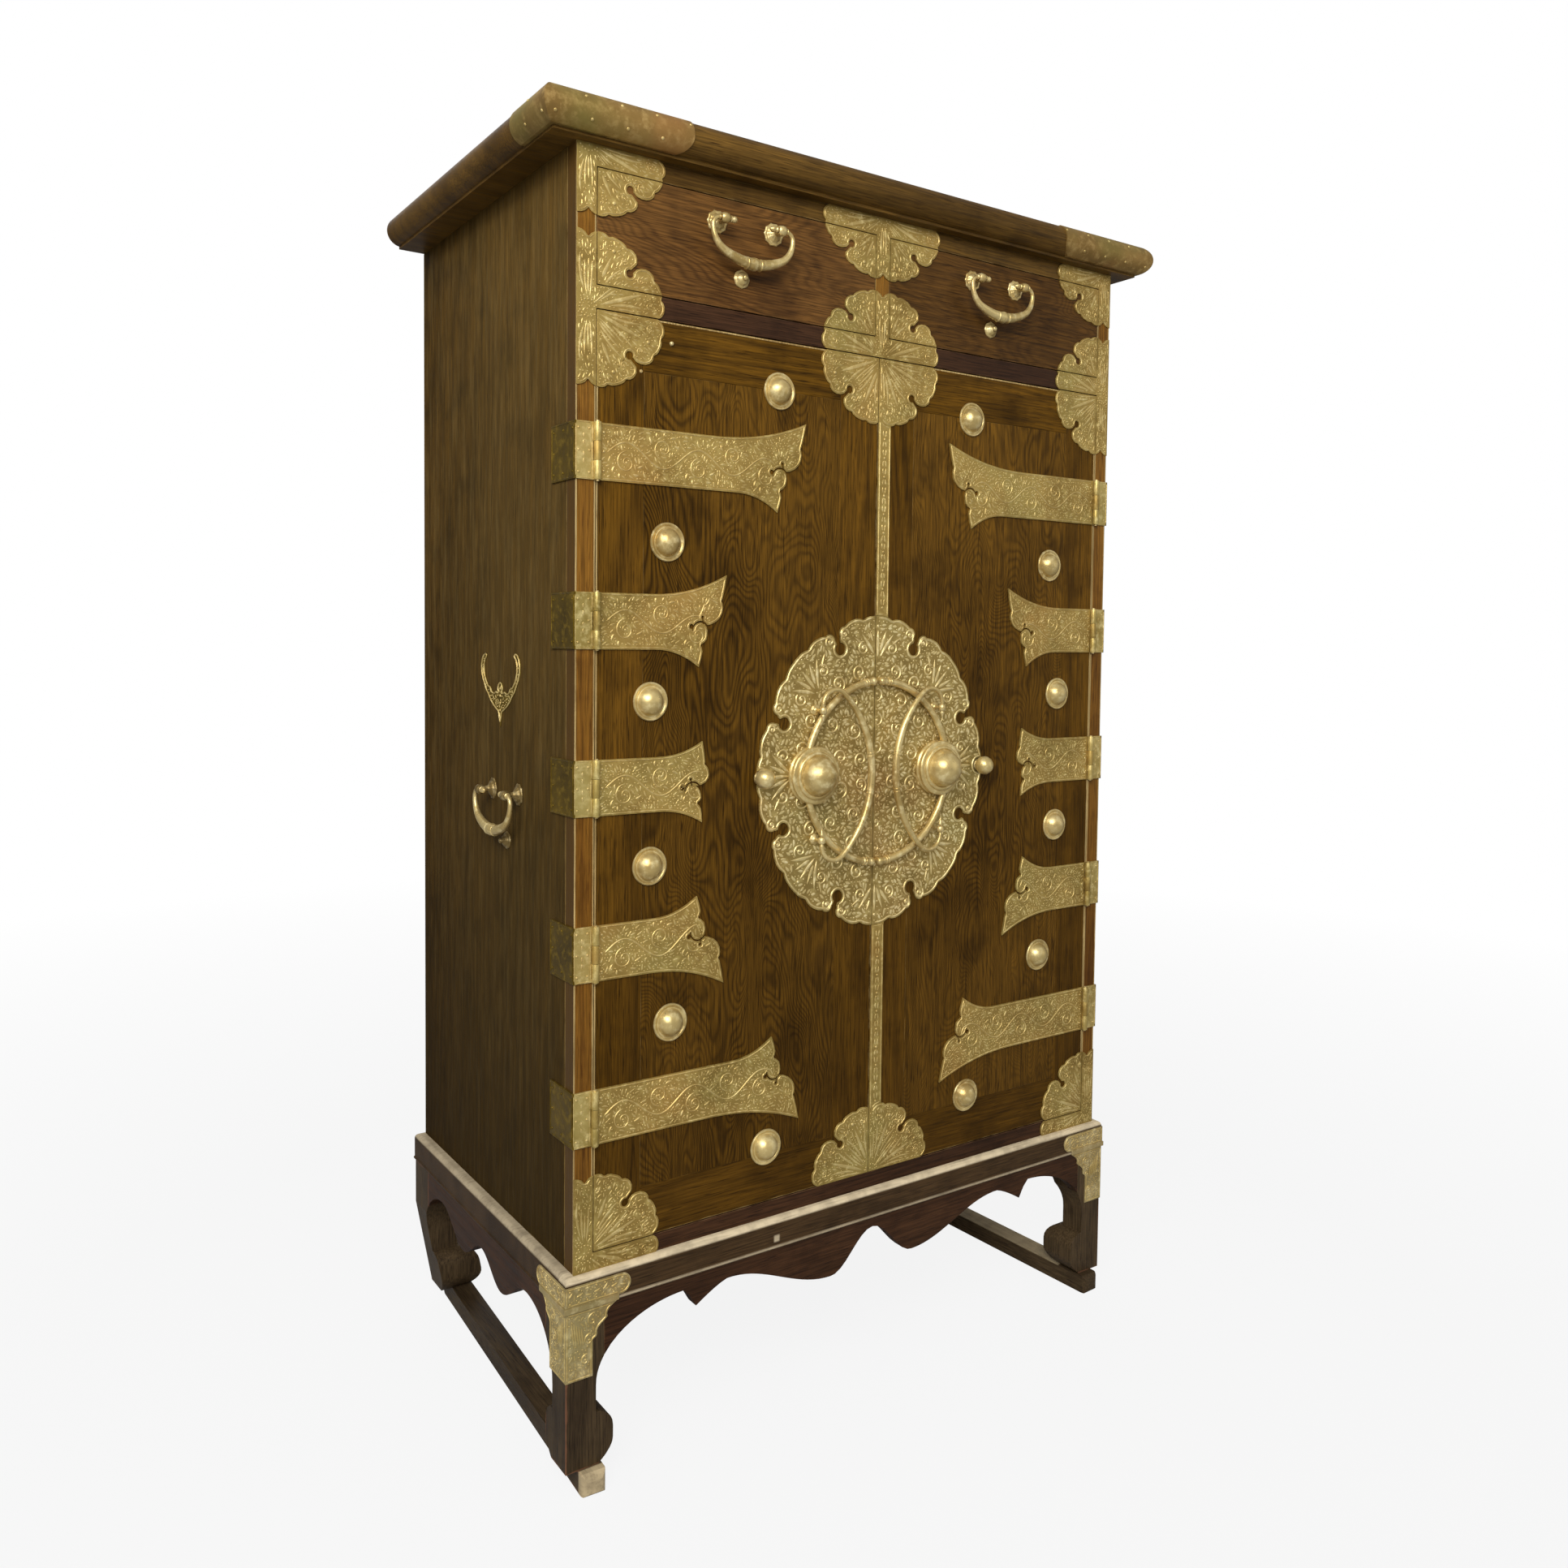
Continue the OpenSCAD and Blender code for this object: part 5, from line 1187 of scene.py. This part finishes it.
for view in ("front", "left", "right"):
    chase("stand_corner_brass", view, 19, (2.2, 1.7, 0.8, ""), chaseStandCorner, "stand_chasing_" + view, "cabinet",
          share=0.2, numbered=True)
print("corners, leaves and wings")


# Nails that stand on a curved piece: a ray from outside finds the surface and its slope
def nailsOn(shape, name, starts, toward, radius=1.7, height=1.1):
    mesh = parts[name].data
    tree = BVHTree.FromPolygons([p.co for p in mesh.vertices], [face.vertices[:] for face in mesh.polygons])
    for start in starts:
        hit, slope, face, run = tree.ray_cast(Vector(start), Vector(toward).normalized(), 0.4)
        if hit is not None:
            turned(shape, nailProfile(radius, height, 0.15), hit, slope, 8)


topNails = dict(spacing=0.043, rows=((0.0085, 0.050), (0.0315, 0.014)), front=0.180, side=0.092, radius=2.0,
                height=0.9, overhead=(0.25, 0.5, 0.75, 1.0), inward=0.03)
wrapLow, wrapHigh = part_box("top_corner_brass")


def nailRow(first, length):
    count = int((length - first) / topNails["spacing"]) + 1
    return [first + topNails["spacing"] * i for i in range(count)]


shape = newShape()
for sign in (-1, 1):
    edgeX = sign * wrapHigh.x
    for depth, first in topNails["rows"]:
        z = wrapHigh.z - depth
        fronts = [(edgeX - sign * x, wrapLow.y - 0.1, z) for x in nailRow(first, topNails["front"])]
        nailsOn(shape, "top_corner_brass", fronts, (0, 1, 0), topNails["radius"], topNails["height"])
        sides = [(edgeX + sign * 0.1, wrapLow.y + y, z) for y in nailRow(first, topNails["side"])]
        nailsOn(shape, "top_corner_brass", sides, (-sign, 0, 0), topNails["radius"], topNails["height"])
    above = [(edgeX - sign * topNails["inward"], wrapLow.y + topNails["side"] * share, wrapHigh.z + 0.1)
             for share in topNails["overhead"]]
    nailsOn(shape, "top_corner_brass", above, (0, 0, -1))
makePiece(shape, "top_nails", brassChased, "cabinet", (), 60)


# Thin pale lines of painted highlight where edges catch the light: along both edges of the stiles and along the tops
# and outer edges of the doors
paleWood = woodFinish("paleLineWood", "pale", "Z")


def bar(shape, low, high):
    x0, y0, z0 = low
    x1, y1, z1 = high
    cut = 0.00015
    points = [Vector(p) for p in ((x0, y1, z0), (x1, y1, z0), (x1, y1, z1), (x0, y1, z1),
                                  (x0, y0 + cut, z0), (x1, y0 + cut, z0), (x1, y0 + cut, z1), (x0, y0 + cut, z1),
                                  (x0 + cut, y0, z0), (x1 - cut, y0, z0), (x1 - cut, y0, z1), (x0 + cut, y0, z1))]
    extend(shape, points, [[0, 1, 5, 4], [1, 2, 6, 5], [2, 3, 7, 6], [3, 0, 4, 7], [4, 5, 9, 8], [5, 6, 10, 9],
                           [6, 7, 11, 10], [7, 4, 8, 11], [8, 9, 10, 11], [3, 2, 1, 0]])


paleLine = dict(width=0.0016, proud=0.0004, deep=0.001, drop=0.0006, foot=0.0022, gap=0.0024)
for side in ("left", "right"):
    shape = newShape()
    low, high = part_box("front_stile_" + side)
    nearY, farY = low.y - paleLine["proud"], low.y + paleLine["deep"]
    for x in (low.x, high.x - paleLine["width"]):
        bar(shape, (x, nearY, low.z), (x + paleLine["width"], farY, high.z))
    makePiece(shape, "stile_lines_" + side, paleWood, "cabinet")
    shape = newShape()
    low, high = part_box("door_frame_" + side)
    nearY, farY = low.y - paleLine["proud"], low.y + paleLine["deep"]
    bar(shape, (low.x + 0.001, nearY, high.z - paleLine["foot"]), (high.x - 0.001, farY, high.z - paleLine["drop"]))
    outer = low.x if side == "left" else high.x - paleLine["width"]
    bar(shape, (outer, nearY, low.z + 0.001), (outer + paleLine["width"], farY, high.z - paleLine["gap"]))
    makePiece(shape, "door_lines_" + side, paleWood, "door_" + side)

# A small nail and a wooden peg near the top of the left door
for name, finish, slot, place, sides, profile in (
        ("door_nail", brassCast, "fitting_brass", (-310, 1056), 14,
         [(2.6, -0.5), (2.6, 1.2), (2.2, 2.2), (1.2, 2.9), (0.2, 3.1)]),
        ("door_peg", paleWood, "door_wood", (-349, 1020), 12, [(2.0, -0.5), (2.0, 0.3), (1.6, 0.8), (0.2, 1.0)])):
    shape = newShape()
    turned(shape, profile, onFront(*place, 0), (0, -1, 0), sides)
    makePiece(shape, name, finish, "door_left")
print("nails and lines")


# Stage: pale floor, soft light and the camera at the photograph's view
photoView = dict(width=1932, focal=1541.48, centreX=924.85, centreY=863.77, azimuth=0.590082, elevation=-0.0453575,
                 roll=0.0097436, eye=(-1036.74, -1255.29, 713.73))
skyLight = dict(low=0.16, high=0.50, toward=(-0.42, -0.55, 0.72))
lamps = dict(keyLight=((-2.0, -2.4, 2.5), (-0.1, -0.2, 1.1), 98, 1.7),
             sparkLight=((-3.0, -1.5, 3.0), (-0.1, -0.2, 1.0), 22, 0.6),
             fillLight=((2.6, -3.0, 1.6), (0, 0, 0.8), 10, 2.6), backLight=((0.5, 3.2, 2.8), (0, 0, 0.9), 20, 2.4))
floorLook = dict(half=90, grey=(0.42, 0.42, 0.42, 1), rough=0.9, near=1.0, far=3.5, white=0.88)

floorMesh = bpy.data.meshes.new("floor")
half = floorLook["half"]
floorMesh.from_pydata([(-half, -half, 0), (half, -half, 0), (half, half, 0), (-half, half, 0)], [], [(0, 1, 2, 3)])
floor = bpy.data.objects.new("floor", floorMesh)
bpy.context.scene.collection.objects.link(floor)
floorMaterial, floorTree, floorShader = startFinish("paleFloor")
floorShader.inputs["Base Color"].default_value = floorLook["grey"]
floorShader.inputs["Roughness"].default_value = floorLook["rough"]
seen = put(floorTree, "LightPath").outputs["Is Camera Ray"]
floorPlace = put(floorTree, "TexCoord").outputs["Object"]
distance = put(floorTree, "VectorMath", {0: floorPlace}, operation="LENGTH").outputs[1]
whiten = spread(floorTree, distance, floorLook["near"], floorLook["far"], floorLook["white"], 1.0)
glow = put(floorTree, "Emission", {0: (1, 1, 1, 1), 1: 1.0}).outputs[0]
mixed = put(floorTree, "MixShader", {0: times(floorTree, seen, whiten), 1: floorShader.outputs[0], 2: glow})
floorTree.links.new(mixed.outputs[0], floorTree.nodes["Material Output"].inputs["Surface"])
floorMesh.materials.append(floorMaterial)

world = bpy.data.worlds.new("studio")
bpy.context.scene.world = world
world.use_nodes = True
sky = world.node_tree
back = sky.nodes["Background"]
back.inputs["Color"].default_value = (1, 1, 1, 1)
rays = put(sky, "LightPath")
overhead = put(sky, "TexCoord").outputs["Generated"]
upLeft = put(sky, "VectorMath", {0: overhead, 1: skyLight["toward"]}, operation="DOT_PRODUCT").outputs[1]
soft = spread(sky, upLeft, -0.7, 0.9, skyLight["low"], skyLight["high"])
strength = calc(sky, "MAXIMUM", rays.outputs["Is Camera Ray"], soft)
sky.links.new(strength, back.inputs["Strength"])

for name, (place, target, energy, size) in lamps.items():
    data = bpy.data.lights.new(name, "AREA")
    data.energy = energy
    data.size = size
    item = bpy.data.objects.new(name, data)
    item.location = place
    item.rotation_euler = (Vector(target) - Vector(place)).to_track_quat("-Z", "Y").to_euler()
    bpy.context.scene.collection.objects.link(item)

eye = spot(*photoView["eye"])
az, el, roll = photoView["azimuth"], photoView["elevation"], photoView["roll"]
ahead = Vector((sin(az) * cos(el), cos(az) * cos(el), sin(el)))
across = Vector((cos(az), -sin(az), 0))
upward = across.cross(ahead)
right = cos(roll) * across + sin(roll) * upward
top = -sin(roll) * across + cos(roll) * upward
cameraData = bpy.data.cameras.new("photoCamera")
cameraData.sensor_width = 36
photoWide = photoView["width"]
cameraData.lens = photoView["focal"] / photoWide * 36
cameraData.shift_x = (photoWide / 2 - photoView["centreX"]) / photoWide
cameraData.shift_y = (photoView["centreY"] - photoWide / 2) / photoWide
camera = bpy.data.objects.new("photoCamera", cameraData)
camera.matrix_world = Matrix(((right.x, top.x, -ahead.x, eye.x), (right.y, top.y, -ahead.y, eye.y),
                              (right.z, top.z, -ahead.z, eye.z), (0, 0, 0, 1)))
bpy.context.scene.collection.objects.link(camera)
bpy.context.scene.camera = camera
bpy.context.scene.view_settings.view_transform = "Standard"
print("stage ready")
